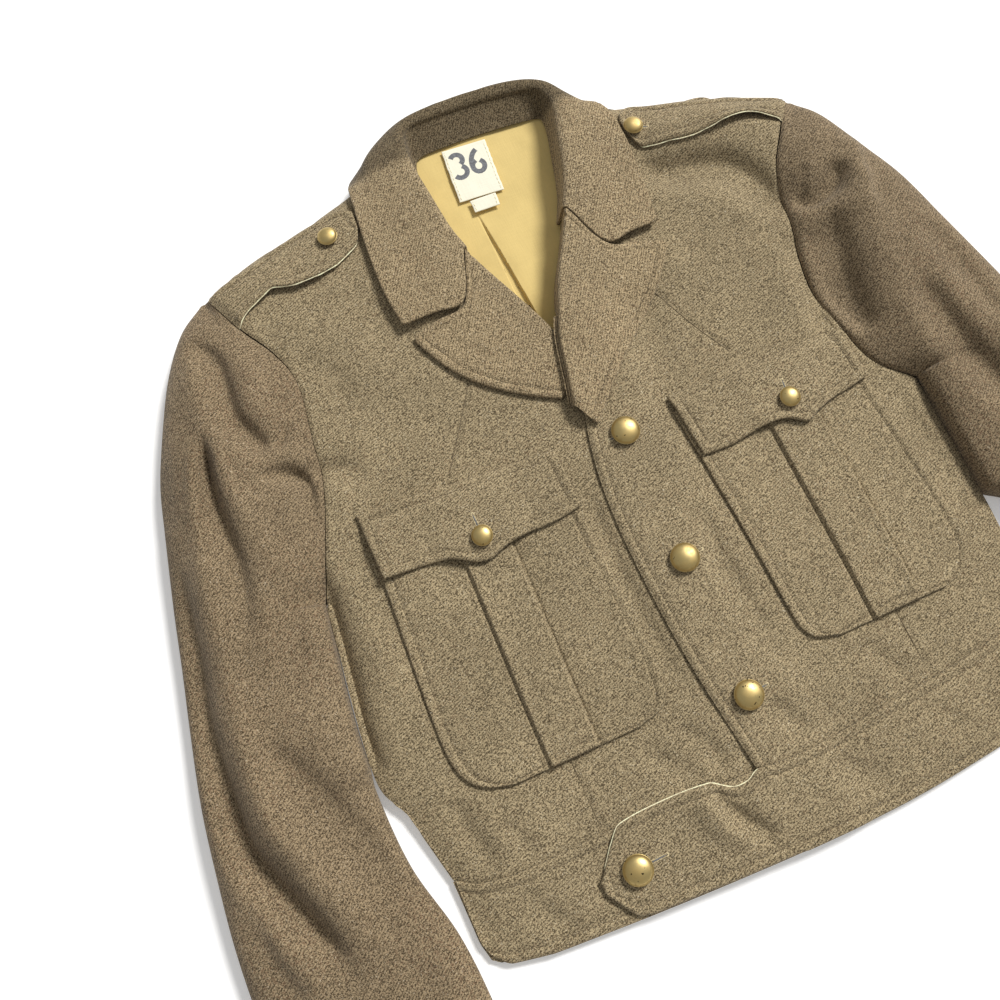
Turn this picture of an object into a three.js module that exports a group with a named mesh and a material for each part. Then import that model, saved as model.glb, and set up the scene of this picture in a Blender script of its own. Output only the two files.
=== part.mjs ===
// Wool military jacket laid out flat on its back, fastened down the front, seen from above.
// Millimetres, +Z up. While the pieces are worked out, X is 0 on the button line, Y is 0 at the
// middle front button and grows towards the collar, and Z is 0 on the surface it lies on.
// "Left" and "right" are the wearer's, so the left front, which lies on top, is at +X.
import * as THREE from "three";

// Cloth and seams
const WOOL = 2.2;
const DOUBLED_WOOL = 2.8;
const COTTON = 1.2;
const LABEL_CLOTH = 1.0;
const SEAM_GAP = 0.4;
const REST_GAP = 0.6;

// Buttons: the four of the front, and the four small ones of the pockets and shoulder straps
const BIG_BUTTON = { radius: 11, dome: 6.4 };
const SMALL_BUTTON = { radius: 8, dome: 5 };
const SHANK_RADIUS = 3;
const SHANK_HEIGHT = 1.6;

// How the body rolls over at its edges, and how full it lies
const SIDE_ROLL = 26;
const SHOULDER_ROLL = 34;
const BACK_ROLL = 18;
const SEAM_SHARE = 0.42;
const CROSS_FALL = 0.00008;
const BODY_MIDDLE = -10;
const BODY_HEIGHTS = [
  { y: -225, z: 8.4 },
  { y: -150, z: 13.6 },
  { y: -60, z: 18.5 },
  { y: 60, z: 21.5 },
  { y: 180, z: 24.5 },
  { y: 300, z: 28 },
  { y: 400, z: 28 },
];

// The left front crosses over the right one as far as this, and over the right lapel higher up
const OVERLAP_END = 24;
const OVERLAP_FADE = 26;
const OVERLAP_LIFT = 3.5;
const LAPEL_CROSSING = { from: 152, to: 208, fadeDown: 28, fadeUp: 26, x: 4, fadeOut: 56, lift: 4.4 };

// Outlines. Each list runs upwards, from the waist seam to the armpit and on to the shoulder.
const SIDES = {
  right: [
    { x: -243, y: -134 },
    { x: -255, y: -84 },
    { x: -268, y: -48 },
    { x: -254, y: 75 },
  ],
  left: [
    { x: 222, y: -130 },
    { x: 231, y: -83 },
    { x: 232, y: -10 },
    { x: 232, y: 56 },
  ],
};
const ARMHOLES = {
  right: [
    { x: -254, y: 75 },
    { x: -238, y: 113 },
    { x: -221, y: 159 },
    { x: -215, y: 196 },
    { x: -209, y: 242 },
    { x: -217, y: 272 },
    { x: -234, y: 302 },
    { x: -249, y: 338 },
  ],
  left: [
    { x: 232, y: 56 },
    { x: 207, y: 76 },
    { x: 196, y: 106 },
    { x: 190, y: 156 },
    { x: 200, y: 212 },
    { x: 211, y: 257 },
    { x: 232, y: 289 },
    { x: 251, y: 314 },
  ],
};
const SHOULDERS = {
  right: [
    { x: -74, y: 391 },
    { x: -105, y: 382 },
    { x: -149, y: 369 },
    { x: -185, y: 362 },
    { x: -223, y: 352 },
    { x: -250, y: 341 },
  ],
  left: [
    { x: 92, y: 379 },
    { x: 109, y: 368 },
    { x: 136, y: 360 },
    { x: 170, y: 351 },
    { x: 197, y: 342 },
    { x: 252, y: 316 },
  ],
};
// The edge of each front at the middle, then the line where the lapel and collar roll over it
const FRONT_EDGES = {
  right: [
    { x: 20, y: -155 },
    { x: 20, y: -60 },
    { x: 20, y: 20 },
    { x: 19, y: 90 },
    { x: 4, y: 140 },
    { x: -10, y: 174 },
    { x: -22, y: 200 },
    { x: -38, y: 238 },
    { x: -58, y: 292 },
    { x: -66, y: 346 },
    { x: -70, y: 388 },
  ],
  left: [
    { x: -19, y: -159 },
    { x: -30, y: -72 },
    { x: -34, y: 0 },
    { x: -33, y: 60 },
    { x: -26, y: 106 },
    { x: -16, y: 143 },
    { x: -5, y: 190 },
    { x: 18, y: 236 },
    { x: 47, y: 290 },
    { x: 70, y: 346 },
    { x: 88, y: 378 },
  ],
};
// The back's top edge: shoulder, neck, shoulder
const BACK_TOP = [
  { x: -249, y: 338.6 },
  { x: -223, y: 351 },
  { x: -149, y: 369 },
  { x: -74, y: 390 },
  { x: -50, y: 394 },
  { x: 8, y: 391 },
  { x: 70, y: 387 },
  { x: 92, y: 378 },
  { x: 136, y: 360 },
  { x: 197, y: 342 },
  { x: 251, y: 314.6 },
];
// The seam above the waistband, and the hem below it
const WAIST = [
  { x: -246, seam: -136, hem: -196 },
  { x: -230, seam: -146, hem: -203 },
  { x: -200, seam: -151, hem: -209 },
  { x: -130, seam: -151, hem: -214 },
  { x: -50, seam: -154, hem: -218 },
  { x: 20, seam: -158, hem: -220 },
  { x: 79, seam: -154, hem: -219 },
  { x: 150, seam: -148, hem: -213 },
  { x: 205, seam: -140, hem: -204 },
  { x: 225, seam: -131, hem: -194 },
];
const BAND_SIDE_INSET = 3;
const WAIST_BEND = 0.2;

// Sleeves from the shoulder to the cuff: the outer edge and how high the sleeve stands there.
// The inner edge is the armhole, then the underarm edge down to the cuff.
const SLEEVE_OUTER = {
  right: [
    { x: -257, y: 339, crown: 17 },
    { x: -279, y: 321, crown: 27 },
    { x: -300, y: 290, crown: 32 },
    { x: -319, y: 250, crown: 35 },
    { x: -335, y: 210, crown: 37 },
    { x: -346, y: 165, crown: 38 },
    { x: -357, y: 118, crown: 38 },
    { x: -366, y: 75, crown: 37 },
    { x: -376, y: 30, crown: 36 },
    { x: -386, y: -20, crown: 34 },
    { x: -392, y: -65, crown: 33 },
    { x: -397, y: -116, crown: 31 },
    { x: -398, y: -166, crown: 28 },
    { x: -395, y: -224, crown: 24 },
    { x: -388, y: -287, crown: 19 },
  ],
  left: [
    { x: 259, y: 311, crown: 17 },
    { x: 273, y: 290, crown: 28 },
    { x: 288, y: 254, crown: 34 },
    { x: 306, y: 212, crown: 37 },
    { x: 320, y: 158, crown: 38 },
    { x: 333, y: 106, crown: 38 },
    { x: 340, y: 76, crown: 37 },
    { x: 346, y: 50, crown: 36 },
    { x: 353, y: 16, crown: 35 },
    { x: 361, y: -30, crown: 34 },
    { x: 366, y: -72, crown: 33 },
    { x: 369, y: -118, crown: 31 },
    { x: 370, y: -168, crown: 28 },
    { x: 367, y: -226, crown: 24 },
    { x: 360, y: -288, crown: 19 },
  ],
};
const SLEEVE_INNER = {
  right: [
    { x: -254, y: 75 },
    { x: -261.5, y: 30 },
    { x: -267.5, y: -20 },
    { x: -270, y: -65 },
    { x: -267, y: -118 },
    { x: -254, y: -172 },
    { x: -250, y: -226 },
    { x: -252, y: -282 },
  ],
  left: [
    { x: 232, y: 56 },
    { x: 239, y: 18 },
    { x: 245, y: -30 },
    { x: 247, y: -72 },
    { x: 245, y: -118 },
    { x: 233, y: -174 },
    { x: 229, y: -228 },
    { x: 231, y: -284 },
  ],
};
const SLEEVE_SEAM_HEIGHT = 8.4;
const SLEEVE_UNDER_ROLL = 16;
const SLEEVE_DOME = 0.8;
const ARMHOLE_DOME = 2;

// The largest folds: a soft trough (depth over 0) or ridge (under 0) from one place to another
const FRONT_FOLDS = {
  right: [
    { x0: -222, y0: 176, x1: -205, y1: 168, x2: -186, y2: 150, width: 10, depth: 2 },
    { x0: -236, y0: 60, x1: -232, y1: 10, x2: -232, y2: -60, width: 9, depth: 2 },
  ],
  left: [
    { x0: 112, y0: 296, x1: 148, y1: 262, x2: 192, y2: 216, width: 12, depth: 5 },
    { x0: 26, y0: 34, x1: 27, y1: -30, x2: 32, y2: -104, width: 11, depth: 2 },
  ],
};
const SLEEVE_FOLDS = {
  right: [
    { x0: -286, y0: 214, x1: -292, y1: 170, x2: -288, y2: 124, width: 13, depth: 5 },
    { x0: -340, y0: 142, x1: -350, y1: 50, x2: -358, y2: -50, width: 11, depth: 5 },
    { x0: -357, y0: -50, x1: -346, y1: -100, x2: -322, y2: -170, width: 11, depth: 6 },
    { x0: -312, y0: 76, x1: -326, y1: 40, x2: -328, y2: -14, width: 14, depth: 3 },
    { x0: -298, y0: -90, x1: -290, y1: -120, x2: -278, y2: -150, width: 13, depth: 4 },
    { x0: -330, y0: -190, x1: -340, y1: -225, x2: -330, y2: -262, width: 14, depth: 4 },
  ],
  left: [
    { x0: 216, y0: 216, x1: 244, y1: 212, x2: 282, y2: 238, width: 12, depth: 5 },
    { x0: 262, y0: 130, x1: 268, y1: 60, x2: 296, y2: -10, width: 14, depth: 5 },
    { x0: 316, y0: 30, x1: 330, y1: -60, x2: 318, y2: -150, width: 12, depth: 5 },
    { x0: 262, y0: -60, x1: 276, y1: -110, x2: 300, y2: -160, width: 13, depth: 4 },
    { x0: 300, y0: -190, x1: 312, y1: -225, x2: 302, y2: -262, width: 14, depth: 4 },
  ],
};

// Collar, from the right tip round the back of the neck to the left tip. Each row gives the
// neck seam, the roll line on top, a place on the leaf and the leaf's outer edge.
const COLLAR = [
  { neckX: -46, neckY: 291, neckZ: 6, rollX: -49, rollY: 291, rollZ: 33,
    leafX: -67, leafY: 249.5, edgeX: -118, edgeY: 250, edgeZ: 30 },
  { neckX: -50, neckY: 312, neckZ: 6, rollX: -54, rollY: 313, rollZ: 33,
    leafX: -77, leafY: 296, edgeX: -121, edgeY: 282, edgeZ: 31 },
  { neckX: -52, neckY: 346, neckZ: 6, rollX: -57, rollY: 347, rollZ: 32,
    leafX: -84, leafY: 335, edgeX: -119, edgeY: 322, edgeZ: 31 },
  { neckX: -55, neckY: 373, neckZ: 5, rollX: -59, rollY: 376, rollZ: 30,
    leafX: -86, leafY: 366, edgeX: -115, edgeY: 356, edgeZ: 28 },
  { neckX: -53, neckY: 388, neckZ: 4.6, rollX: -57, rollY: 398, rollZ: 27,
    leafX: -86, leafY: 396, edgeX: -108, edgeY: 387, edgeZ: 14 },
  { neckX: -46, neckY: 394.5, neckZ: 4.4, rollX: -51, rollY: 413, rollZ: 23,
    leafX: -70, leafY: 413, edgeX: -82, edgeY: 401, edgeZ: 4 },
  { neckX: -30, neckY: 396, neckZ: 4.4, rollX: -37, rollY: 418, rollZ: 20,
    leafX: -43, leafY: 422, edgeX: -42, edgeY: 404, edgeZ: 3 },
  { neckX: 4, neckY: 395, neckZ: 4.4, rollX: 4, rollY: 418, rollZ: 18,
    leafX: 4, leafY: 422, edgeX: 4, edgeY: 402, edgeZ: 3 },
  { neckX: 38, neckY: 392.5, neckZ: 4.4, rollX: 42, rollY: 414, rollZ: 19,
    leafX: 45, leafY: 418, edgeX: 44, edgeY: 399, edgeZ: 3 },
  { neckX: 60, neckY: 389, neckZ: 4.4, rollX: 64, rollY: 407, rollZ: 21,
    leafX: 71, leafY: 408, edgeX: 72, edgeY: 395, edgeZ: 3 },
  { neckX: 64, neckY: 383, neckZ: 5.6, rollX: 71, rollY: 392, rollZ: 25,
    leafX: 84, leafY: 390, edgeX: 96, edgeY: 384, edgeZ: 8 },
  { neckX: 62, neckY: 368, neckZ: 6, rollX: 69, rollY: 374, rollZ: 29,
    leafX: 88, leafY: 370, edgeX: 108, edgeY: 361, edgeZ: 22 },
  { neckX: 56, neckY: 346, neckZ: 6, rollX: 61, rollY: 350, rollZ: 32,
    leafX: 84, leafY: 342, edgeX: 109, edgeY: 332, edgeZ: 31 },
  { neckX: 47, neckY: 316, neckZ: 6, rollX: 51, rollY: 318, rollZ: 33,
    leafX: 70, leafY: 306, edgeX: 106, edgeY: 296, edgeZ: 31 },
  { neckX: 35, neckY: 291, neckZ: 6, rollX: 38, rollY: 291, rollZ: 33,
    leafX: 55, leafY: 250.5, edgeX: 100, edgeY: 251, edgeZ: 30 },
];
// Lapels, from the collar down to where they break from the front edge
const LAPELS = {
  right: [
    { rollX: -48, rollY: 289, leafX: -67, leafY: 246, edgeX: -116, edgeY: 240 },
    { rollX: -38, rollY: 264, leafX: -66, leafY: 232, edgeX: -105, edgeY: 215 },
    { rollX: -27, rollY: 238, leafX: -56, leafY: 212, edgeX: -91, edgeY: 193 },
    { rollX: -17, rollY: 213, leafX: -43, leafY: 190, edgeX: -70, edgeY: 173 },
    { rollX: -9, rollY: 190, leafX: -30, leafY: 172, edgeX: -50, edgeY: 159 },
    { rollX: -2, rollY: 174, leafX: -17, leafY: 160, edgeX: -31, edgeY: 148 },
  ],
  left: [
    { rollX: 37, rollY: 289, leafX: 56, leafY: 247, edgeX: 102, edgeY: 234 },
    { rollX: 23, rollY: 265, leafX: 50, leafY: 234, edgeX: 87, edgeY: 214 },
    { rollX: 8, rollY: 240, leafX: 37, leafY: 213, edgeX: 71, edgeY: 196 },
    { rollX: -3, rollY: 216, leafX: 20, leafY: 192, edgeX: 47, edgeY: 175 },
    { rollX: -13, rollY: 193, leafX: 4, leafY: 173, edgeX: 23, edgeY: 155 },
    { rollX: -20, rollY: 164, leafX: -9, leafY: 148, edgeX: 2, edgeY: 134 },
    { rollX: -26, rollY: 138, leafX: -20, leafY: 127, edgeX: -14, edgeY: 118 },
  ],
};
const ROLL_RADIUS = 4.4;
const ROLL_SOFTNESS = 0.6;
const STEEPEST = 1.8;
const LEAF_GAP = 0.9;
const LEAF_OVERHANG = 2;
const LAPEL_FOOT = 8;
const CROSSING_FOOT = { from: 226, to: 206, below: 4.4 };
const LAPEL_ROLL_RISE = 1.4;

// Patch pockets with a box pleat, and their flaps. Rows run down the pocket and across the flap.
const POCKETS = {
  right: [
    { y: 104, near: -54, far: -207 },
    { y: 60, near: -54, far: -209 },
    { y: 0, near: -52, far: -213 },
    { y: -45, near: -51, far: -215 },
    { y: -66, near: -52, far: -214 },
    { y: -80, near: -54, far: -209 },
    { y: -90, near: -62, far: -198 },
    { y: -96, near: -82, far: -178 },
  ],
  left: [
    { y: 104, near: 42, far: 190 },
    { y: 60, near: 46, far: 192 },
    { y: 0, near: 50, far: 197 },
    { y: -45, near: 52, far: 200 },
    { y: -66, near: 53, far: 200 },
    { y: -80, near: 55, far: 196 },
    { y: -90, near: 62, far: 186 },
    { y: -96, near: 80, far: 168 },
  ],
};
const PLEATS = {
  right: { topX: -129, footX: -132, width: 37 },
  left: { topX: 124, footX: 127, width: 38 },
};
const PLEAT_RISE = 2.4;
const FLAPS = {
  right: [
    { x: -208, top: 128, foot: 74 },
    { x: -180, top: 126, foot: 72 },
    { x: -158, top: 124, foot: 68 },
    { x: -142, top: 122, foot: 58.5 },
    { x: -131, top: 121, foot: 56 },
    { x: -118, top: 120, foot: 60 },
    { x: -100, top: 118, foot: 63 },
    { x: -76, top: 116, foot: 63 },
    { x: -53, top: 114, foot: 66 },
  ],
  left: [
    { x: 43, top: 117, foot: 64 },
    { x: 66, top: 118, foot: 63 },
    { x: 92, top: 119.5, foot: 66 },
    { x: 112, top: 121, foot: 64 },
    { x: 126, top: 122, foot: 56 },
    { x: 137, top: 122.5, foot: 60 },
    { x: 152, top: 123, foot: 65 },
    { x: 172, top: 123.5, foot: 68 },
    { x: 187, top: 124, foot: 71 },
  ],
};
const FLAP_LEAN = { right: 1, left: 5 };
const FLAP_RISE_FROM = 120;
const FLAP_RISE_TO = 106;

// Shoulder straps, from the neck end to the armhole
const STRAPS = {
  right: [
    { x: -117, low: 345, high: 358 },
    { x: -123, low: 331, high: 364 },
    { x: -132, low: 327, high: 367 },
    { x: -160, low: 323, high: 361 },
    { x: -190, low: 317, high: 355 },
    { x: -214, low: 308, high: 348 },
    { x: -231, low: 300, high: 342 },
  ],
  left: [
    { x: 112, low: 334, high: 346 },
    { x: 117, low: 320, high: 354 },
    { x: 126, low: 316, high: 358 },
    { x: 152, low: 310, high: 349 },
    { x: 182, low: 303, high: 340 },
    { x: 206, low: 300, high: 332 },
    { x: 231, low: 294, high: 321 },
  ],
};

// Waistband of the left front with its buttoned tab, from the tab's clipped end to the side
const TAB = [
  { x: -152, high: -180, low: -188 },
  { x: -145, high: -172, low: -199 },
  { x: -137, high: -162, low: -210 },
  { x: -125, high: -150, low: -213 },
  { x: -88, high: -148, low: -215 },
  { x: -52, high: -153, low: -217 },
  { x: -30, high: -160, low: -218 },
];

// The lining that shows in the neck, with the labels on it
const LINING = [
  { y: 388, near: -42, far: 58 },
  { y: 370, near: -54, far: 66 },
  { y: 330, near: -72, far: 76 },
  { y: 260, near: -74, far: 70 },
  { y: 200, near: -50, far: 36 },
  { y: 150, near: -36, far: 18 },
];
const LINING_PLEAT = { x: -16, width: 26, rise: 1.6 };
const SIZE_LABEL = { x: -10, y: 365.5, width: 38, height: 49.5, turn: -0.09 };
const SMALL_LABEL = { x: -12.5, y: 333.5, width: 22, height: 11.5, turn: -0.05 };

// Where the buttons are sewn
const BUTTONS = [
  { name: "button_front_1", on: "left", x: 2, y: 105, kind: BIG_BUTTON, over: "left_front" },
  { name: "button_front_2", on: "left", x: 0, y: 0, kind: BIG_BUTTON, over: "left_front" },
  { name: "button_front_3", on: "left", x: -2, y: -107, kind: BIG_BUTTON, over: "left_front" },
  { name: "button_tab", on: "left", x: -125, y: -182, kind: BIG_BUTTON, over: "tab" },
  { name: "button_pocket_right", on: "right", x: -129, y: 74, kind: SMALL_BUTTON, over: "flap" },
  { name: "button_pocket_left", on: "left", x: 126, y: 78, kind: SMALL_BUTTON, over: "flap" },
  { name: "button_strap_right", on: "right", x: -143, y: 343, kind: SMALL_BUTTON, over: "strap" },
  { name: "button_strap_left", on: "left", x: 119, y: 335, kind: SMALL_BUTTON, over: "strap" },
];

// How finely each piece is divided
const BACK_COLUMNS = 18;
const BACK_EVENNESS = 0.4;
const SIDE_STEPS = 8;
const SIDE_LINE_STEPS = 12;
const ARMHOLE_STEPS = 12;
const UNDERARM_STEPS = 10;
const SLEEVE_COLUMNS = 10;
const UNDER_SLEEVE_COLUMNS = 6;
const BUTTON_SIDES = 14;
const STRIP_STEPS = 2;
const BAND_COLUMNS = 16;
const TAB_END_COLUMNS = 5;
const BAND_ROWS = 3;

const clamp = (value, low, high) => Math.max(low, Math.min(high, value));
const mix = (a, b, t) => a + (b - a) * t;
const even = (t) => t;

// 0 below `from`, 1 past `to`, with a smooth rise between; it also runs downwards.
function ramp(value, from, to) {
  const t = clamp((value - from) / (to - from), 0, 1);
  return t * t * (3 - 2 * t);
}

// Reads a table between its rows, at t from 0 to 1, each column on a smooth curve.
function rowAt(rows, t) {
  const last = rows.length - 1;
  const place = clamp(t, 0, 1) * last;
  const i = Math.min(Math.floor(place), last - 1);
  const f = place - i;
  const out = {};
  for (const name of Object.keys(rows[0])) {
    const b = rows[i][name];
    const c = rows[i + 1][name];
    const a = i > 0 ? rows[i - 1][name] : 2 * b - c;
    const d = i + 2 <= last ? rows[i + 2][name] : 2 * c - b;
    const bend = 2 * a - 5 * b + 4 * c - d;
    const twist = 3 * b - a - 3 * c + d;
    out[name] = b + 0.5 * f * (c - a + f * (bend + f * twist));
  }
  return out;
}

// Reads one column of a table at a value of another column, which rises or falls steadily.
function columnAt(rows, key, value, wanted) {
  const falls = rows[0][key] > rows[rows.length - 1][key];
  const last = rows.length - 1;
  let i = 0;
  while (i < last - 1 && (falls ? value < rows[i + 1][key] : value > rows[i + 1][key])) i += 1;
  const t = clamp((value - rows[i][key]) / (rows[i + 1][key] - rows[i][key]), 0, 1);
  return rowAt(rows, (i + t) / last)[wanted];
}

// Joins tables end to end and gives the place at t, with a corner only where two tables meet.
function chain(...tables) {
  const parts = tables.map((table) => table.length - 1);
  const total = parts.reduce((sum, count) => sum + count, 0);
  return (t) => {
    let place = clamp(t, 0, 1) * total;
    let k = 0;
    while (k < parts.length - 1 && place > parts[k]) {
      place -= parts[k];
      k += 1;
    }
    return rowAt(tables[k], place / parts[k]);
  };
}

function distanceToLine(points, x, y) {
  let nearest = Infinity;
  for (let i = 0; i + 1 < points.length; i += 1) {
    const dx = points[i + 1].x - points[i].x;
    const dy = points[i + 1].y - points[i].y;
    const along = ((x - points[i].x) * dx + (y - points[i].y) * dy) / (dx * dx + dy * dy);
    const t = clamp(along, 0, 1);
    nearest = Math.min(nearest, Math.hypot(x - points[i].x - t * dx, y - points[i].y - t * dy));
  }
  return nearest;
}

// The rounded edge of a flat-lying piece: 0 at the edge, 1 from `radius` inwards.
function rolled(distance, radius) {
  const short = 1 - clamp(distance / radius, 0, 1);
  return Math.sqrt(1 - short * short);
}

// How far the folds of a table lower the cloth at a place.
function foldDepth(folds, x, y) {
  const steps = 12;
  let depth = 0;
  for (const fold of folds) {
    let nearest = Infinity;
    let at = 0;
    for (let k = 0; k <= steps; k += 1) {
      const t = k / steps;
      const s = 1 - t;
      const px = s * s * fold.x0 + 2 * s * t * fold.x1 + t * t * fold.x2;
      const py = s * s * fold.y0 + 2 * s * t * fold.y1 + t * t * fold.y2;
      const d = Math.hypot(x - px, y - py);
      if (d < nearest) {
        nearest = d;
        at = t;
      }
    }
    const along = Math.sin(Math.PI * clamp(at, 0.02, 0.98)) ** 0.7;
    depth += fold.depth * along * Math.exp(-((nearest / fold.width) ** 2));
  }
  return depth;
}

// Sides and shoulders of both body halves as lines to measure from
const EDGE_LINES = {
  right: { side: hemSide("right"), shoulder: SHOULDERS.right },
  left: { side: hemSide("left"), shoulder: SHOULDERS.left },
};

function hemSide(hand) {
  const top = shares(SIDE_LINE_STEPS).map((t) => rowAt(SIDES[hand], t));
  const end = hand === "right" ? WAIST[0] : WAIST[WAIST.length - 1];
  const inward = hand === "right" ? BAND_SIDE_INSET : -BAND_SIDE_INSET;
  return [{ x: end.x + inward * 3, y: end.hem }, ...top];
}

const seamHeight = (y) => SEAM_SHARE * columnAt(BODY_HEIGHTS, "y", y, "z");

// How far in from the nearer rolled edge a place of the body is, as a share of a full height.
function bodyRoll(lines, x, y, sideRoll, shoulderRoll) {
  const side = rolled(distanceToLine(lines.side, x, y), sideRoll);
  return side * rolled(distanceToLine(lines.shoulder, x, y), shoulderRoll);
}

// Outer face of the cloth on top, for the right front and all that lies beside it
function bodyTop(hand, x, y) {
  const fall = CROSS_FALL * (x - BODY_MIDDLE) ** 2;
  const full = columnAt(BODY_HEIGHTS, "y", y, "z") - fall;
  const seam = seamHeight(y) + SEAM_GAP / 2;
  const share = bodyRoll(EDGE_LINES[hand], x, y, SIDE_ROLL, SHOULDER_ROLL);
  return mix(seam, full, share) - foldDepth(FRONT_FOLDS[hand], x, y);
}

// Outer face of the left front, which is lifted where it crosses the right one
function crossingLift(x, y) {
  const over = LAPEL_CROSSING;
  const up = ramp(y, over.from - over.fadeDown, over.from) * ramp(y, over.to + over.fadeUp, over.to);
  const lapel = up * ramp(x, over.x + over.fadeOut, over.x);
  return OVERLAP_LIFT * ramp(x, OVERLAP_END + OVERLAP_FADE, OVERLAP_END) + over.lift * lapel;
}

function frontTop(hand, x, y) {
  const lift = hand === "left" ? crossingLift(x, y) : 0;
  return bodyTop(hand, x, y) + lift;
}

// Outer face of the back, which lies on the surface and turns up to its seams. Under the
// collar it stays flat, so its shoulder is measured from a little further out.
function backFoot(hand, x, y) {
  const { side, shoulder } = EDGE_LINES[hand];
  const lines = { side, shoulder: shoulder.slice(1) };
  return (seamHeight(y) - SEAM_GAP / 2) * (1 - bodyRoll(lines, x, y, BACK_ROLL, BACK_ROLL));
}

const handOf = (x) => (x < BODY_MIDDLE ? "right" : "left");

// Closes two grids of points, one over the other, into one solid that faces outwards.
function slab(upper, lower) {
  const rows = upper.length;
  const columns = upper[0].length;
  const positions = [];
  for (const grid of [upper, lower]) {
    for (const row of grid) row.forEach((p) => positions.push(p.x, p.y, p.z));
  }
  const low = rows * columns;
  const id = (i, j) => i * columns + j;
  const faces = [];
  const quad = (a, b, c, d) => faces.push(a, b, c, a, c, d);
  for (let i = 0; i + 1 < rows; i += 1) {
    for (let j = 0; j + 1 < columns; j += 1) {
      quad(id(i, j), id(i, j + 1), id(i + 1, j + 1), id(i + 1, j));
      quad(low + id(i, j), low + id(i + 1, j), low + id(i + 1, j + 1), low + id(i, j + 1));
    }
  }
  const rim = [];
  for (let j = 0; j + 1 < columns; j += 1) rim.push(id(0, j));
  for (let i = 0; i + 1 < rows; i += 1) rim.push(id(i, columns - 1));
  for (let j = columns - 1; j > 0; j -= 1) rim.push(id(rows - 1, j));
  for (let i = rows - 1; i > 0; i -= 1) rim.push(id(i, 0));
  rim.forEach((a, k) => {
    const b = rim[(k + 1) % rim.length];
    quad(a, low + a, low + b, b);
  });
  if (volumeOf(positions, faces) < 0) {
    for (let k = 0; k < faces.length; k += 3) {
      [faces[k + 1], faces[k + 2]] = [faces[k + 2], faces[k + 1]];
    }
  }
  const geometry = new THREE.BufferGeometry();
  geometry.setAttribute("position", new THREE.Float32BufferAttribute(positions, 3));
  geometry.setIndex(faces);
  geometry.computeVertexNormals();
  return geometry;
}

function volumeOf(positions, faces) {
  const corner = (k) => new THREE.Vector3().fromArray(positions, faces[k] * 3);
  let six = 0;
  for (let k = 0; k < faces.length; k += 3) {
    six += corner(k).dot(corner(k + 1).cross(corner(k + 2)));
  }
  return six / 6;
}

// Moves each point of a grid along the grid's own normal, for the other face of a cloth wall.
function movedOut(grid, distance, upwards) {
  const rows = grid.length - 1;
  const columns = grid[0].length - 1;
  const normals = grid.map((row, i) =>
    row.map((_, j) => {
      const down = grid[Math.min(i + 1, rows)][j].clone().sub(grid[Math.max(i - 1, 0)][j]);
      const across = row[Math.min(j + 1, columns)].clone().sub(row[Math.max(j - 1, 0)]);
      return down.cross(across).normalize();
    }),
  );
  const facesUp = normals[Math.floor(rows / 2)][Math.floor(columns * 0.6)].z > 0;
  const way = facesUp === upwards ? distance : -distance;
  return grid.map((row, i) => row.map((at, j) => at.clone().addScaledVector(normals[i][j], way)));
}

// Shares from 0 to 1 in a number of steps, spaced by a function
function shares(steps, spacing = even) {
  return Array.from({ length: steps + 1 }, (_, k) => spacing(k / steps));
}

// A grid of points from a function of the shares down and across it
const gridOf = (down, across, place) => down.map((v) => across.map((u) => place(v, u)));

const closeAtStart = (t) => t ** 1.8;
const closeAtEnd = (t) => 1 - (1 - t) ** 1.5;
const closeAtBoth = (t) => (1 - Math.cos(Math.PI * t)) / 2;
const point = (x, y, z) => new THREE.Vector3(x, y, z);

// Cloth walls from their outer face: pieces on top are thick downwards, those below upwards,
// and neither reaches past the level of the seam that joins them.
function wallBelow(grid, thickness, seamAt = () => 0) {
  const inner = movedOut(grid, thickness, false);
  inner.flat().forEach((p) => p.setZ(Math.max(p.z, seamAt(p.x, p.y) + SEAM_GAP / 2)));
  return slab(grid, inner);
}

function wallAbove(grid, thickness, seamAt) {
  const inner = movedOut(grid, thickness, true);
  inner.flat().forEach((p) => p.setZ(Math.min(p.z, seamAt(p.x, p.y) - SEAM_GAP / 2)));
  return slab(grid, inner);
}

// A piece that lies on a face: its lower face is the face moved up, its upper face higher.
function overlay(grid, lowerAt, upperAt) {
  const lower = grid.map((row) => row.map((p) => point(p.x, p.y, lowerAt(p.x, p.y))));
  const upper = grid.map((row) => row.map((p) => point(p.x, p.y, upperAt(p.x, p.y))));
  return slab(upper, lower);
}

// Shares down the body and down a sleeve, with the same steps along the armhole that joins them
function bodyShares(hand) {
  const sides = SIDES[hand].length - 1;
  const armpit = sides / (sides + ARMHOLES[hand].length - 1);
  const side = shares(SIDE_STEPS).map((t) => t * armpit);
  const armhole = shares(ARMHOLE_STEPS, closeAtEnd).map((t) => mix(armpit, 1, t));
  return [...side, ...armhole.slice(1)];
}

function sleeveShares(hand) {
  const { armpit } = sleeveInner(hand);
  const armhole = shares(ARMHOLE_STEPS, closeAtEnd).map((t) => armpit * (1 - t)).reverse();
  const underarm = shares(UNDERARM_STEPS).map((t) => mix(armpit, 1, t));
  return [...armhole, ...underarm.slice(1)];
}

// What bends the lowest rows of a panel, straight between two ends, to the waist seam
function toWaist(from, to, u, v) {
  const seam = columnAt(WAIST, "x", mix(from.x, to.x, u), "seam") + SEAM_GAP;
  return (seam - mix(from.y, to.y, u)) * Math.max(0, 1 - v / WAIST_BEND) ** 2;
}

// Columns of a front stand close at its rolled side and again where it crosses the other front.
const FRONT_COLUMNS = [
  0, 0.012, 0.04, 0.08, 0.14, 0.21, 0.3, 0.4, 0.5, 0.6, 0.68, 0.74, 0.79, 0.85, 0.92, 1,
];

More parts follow.
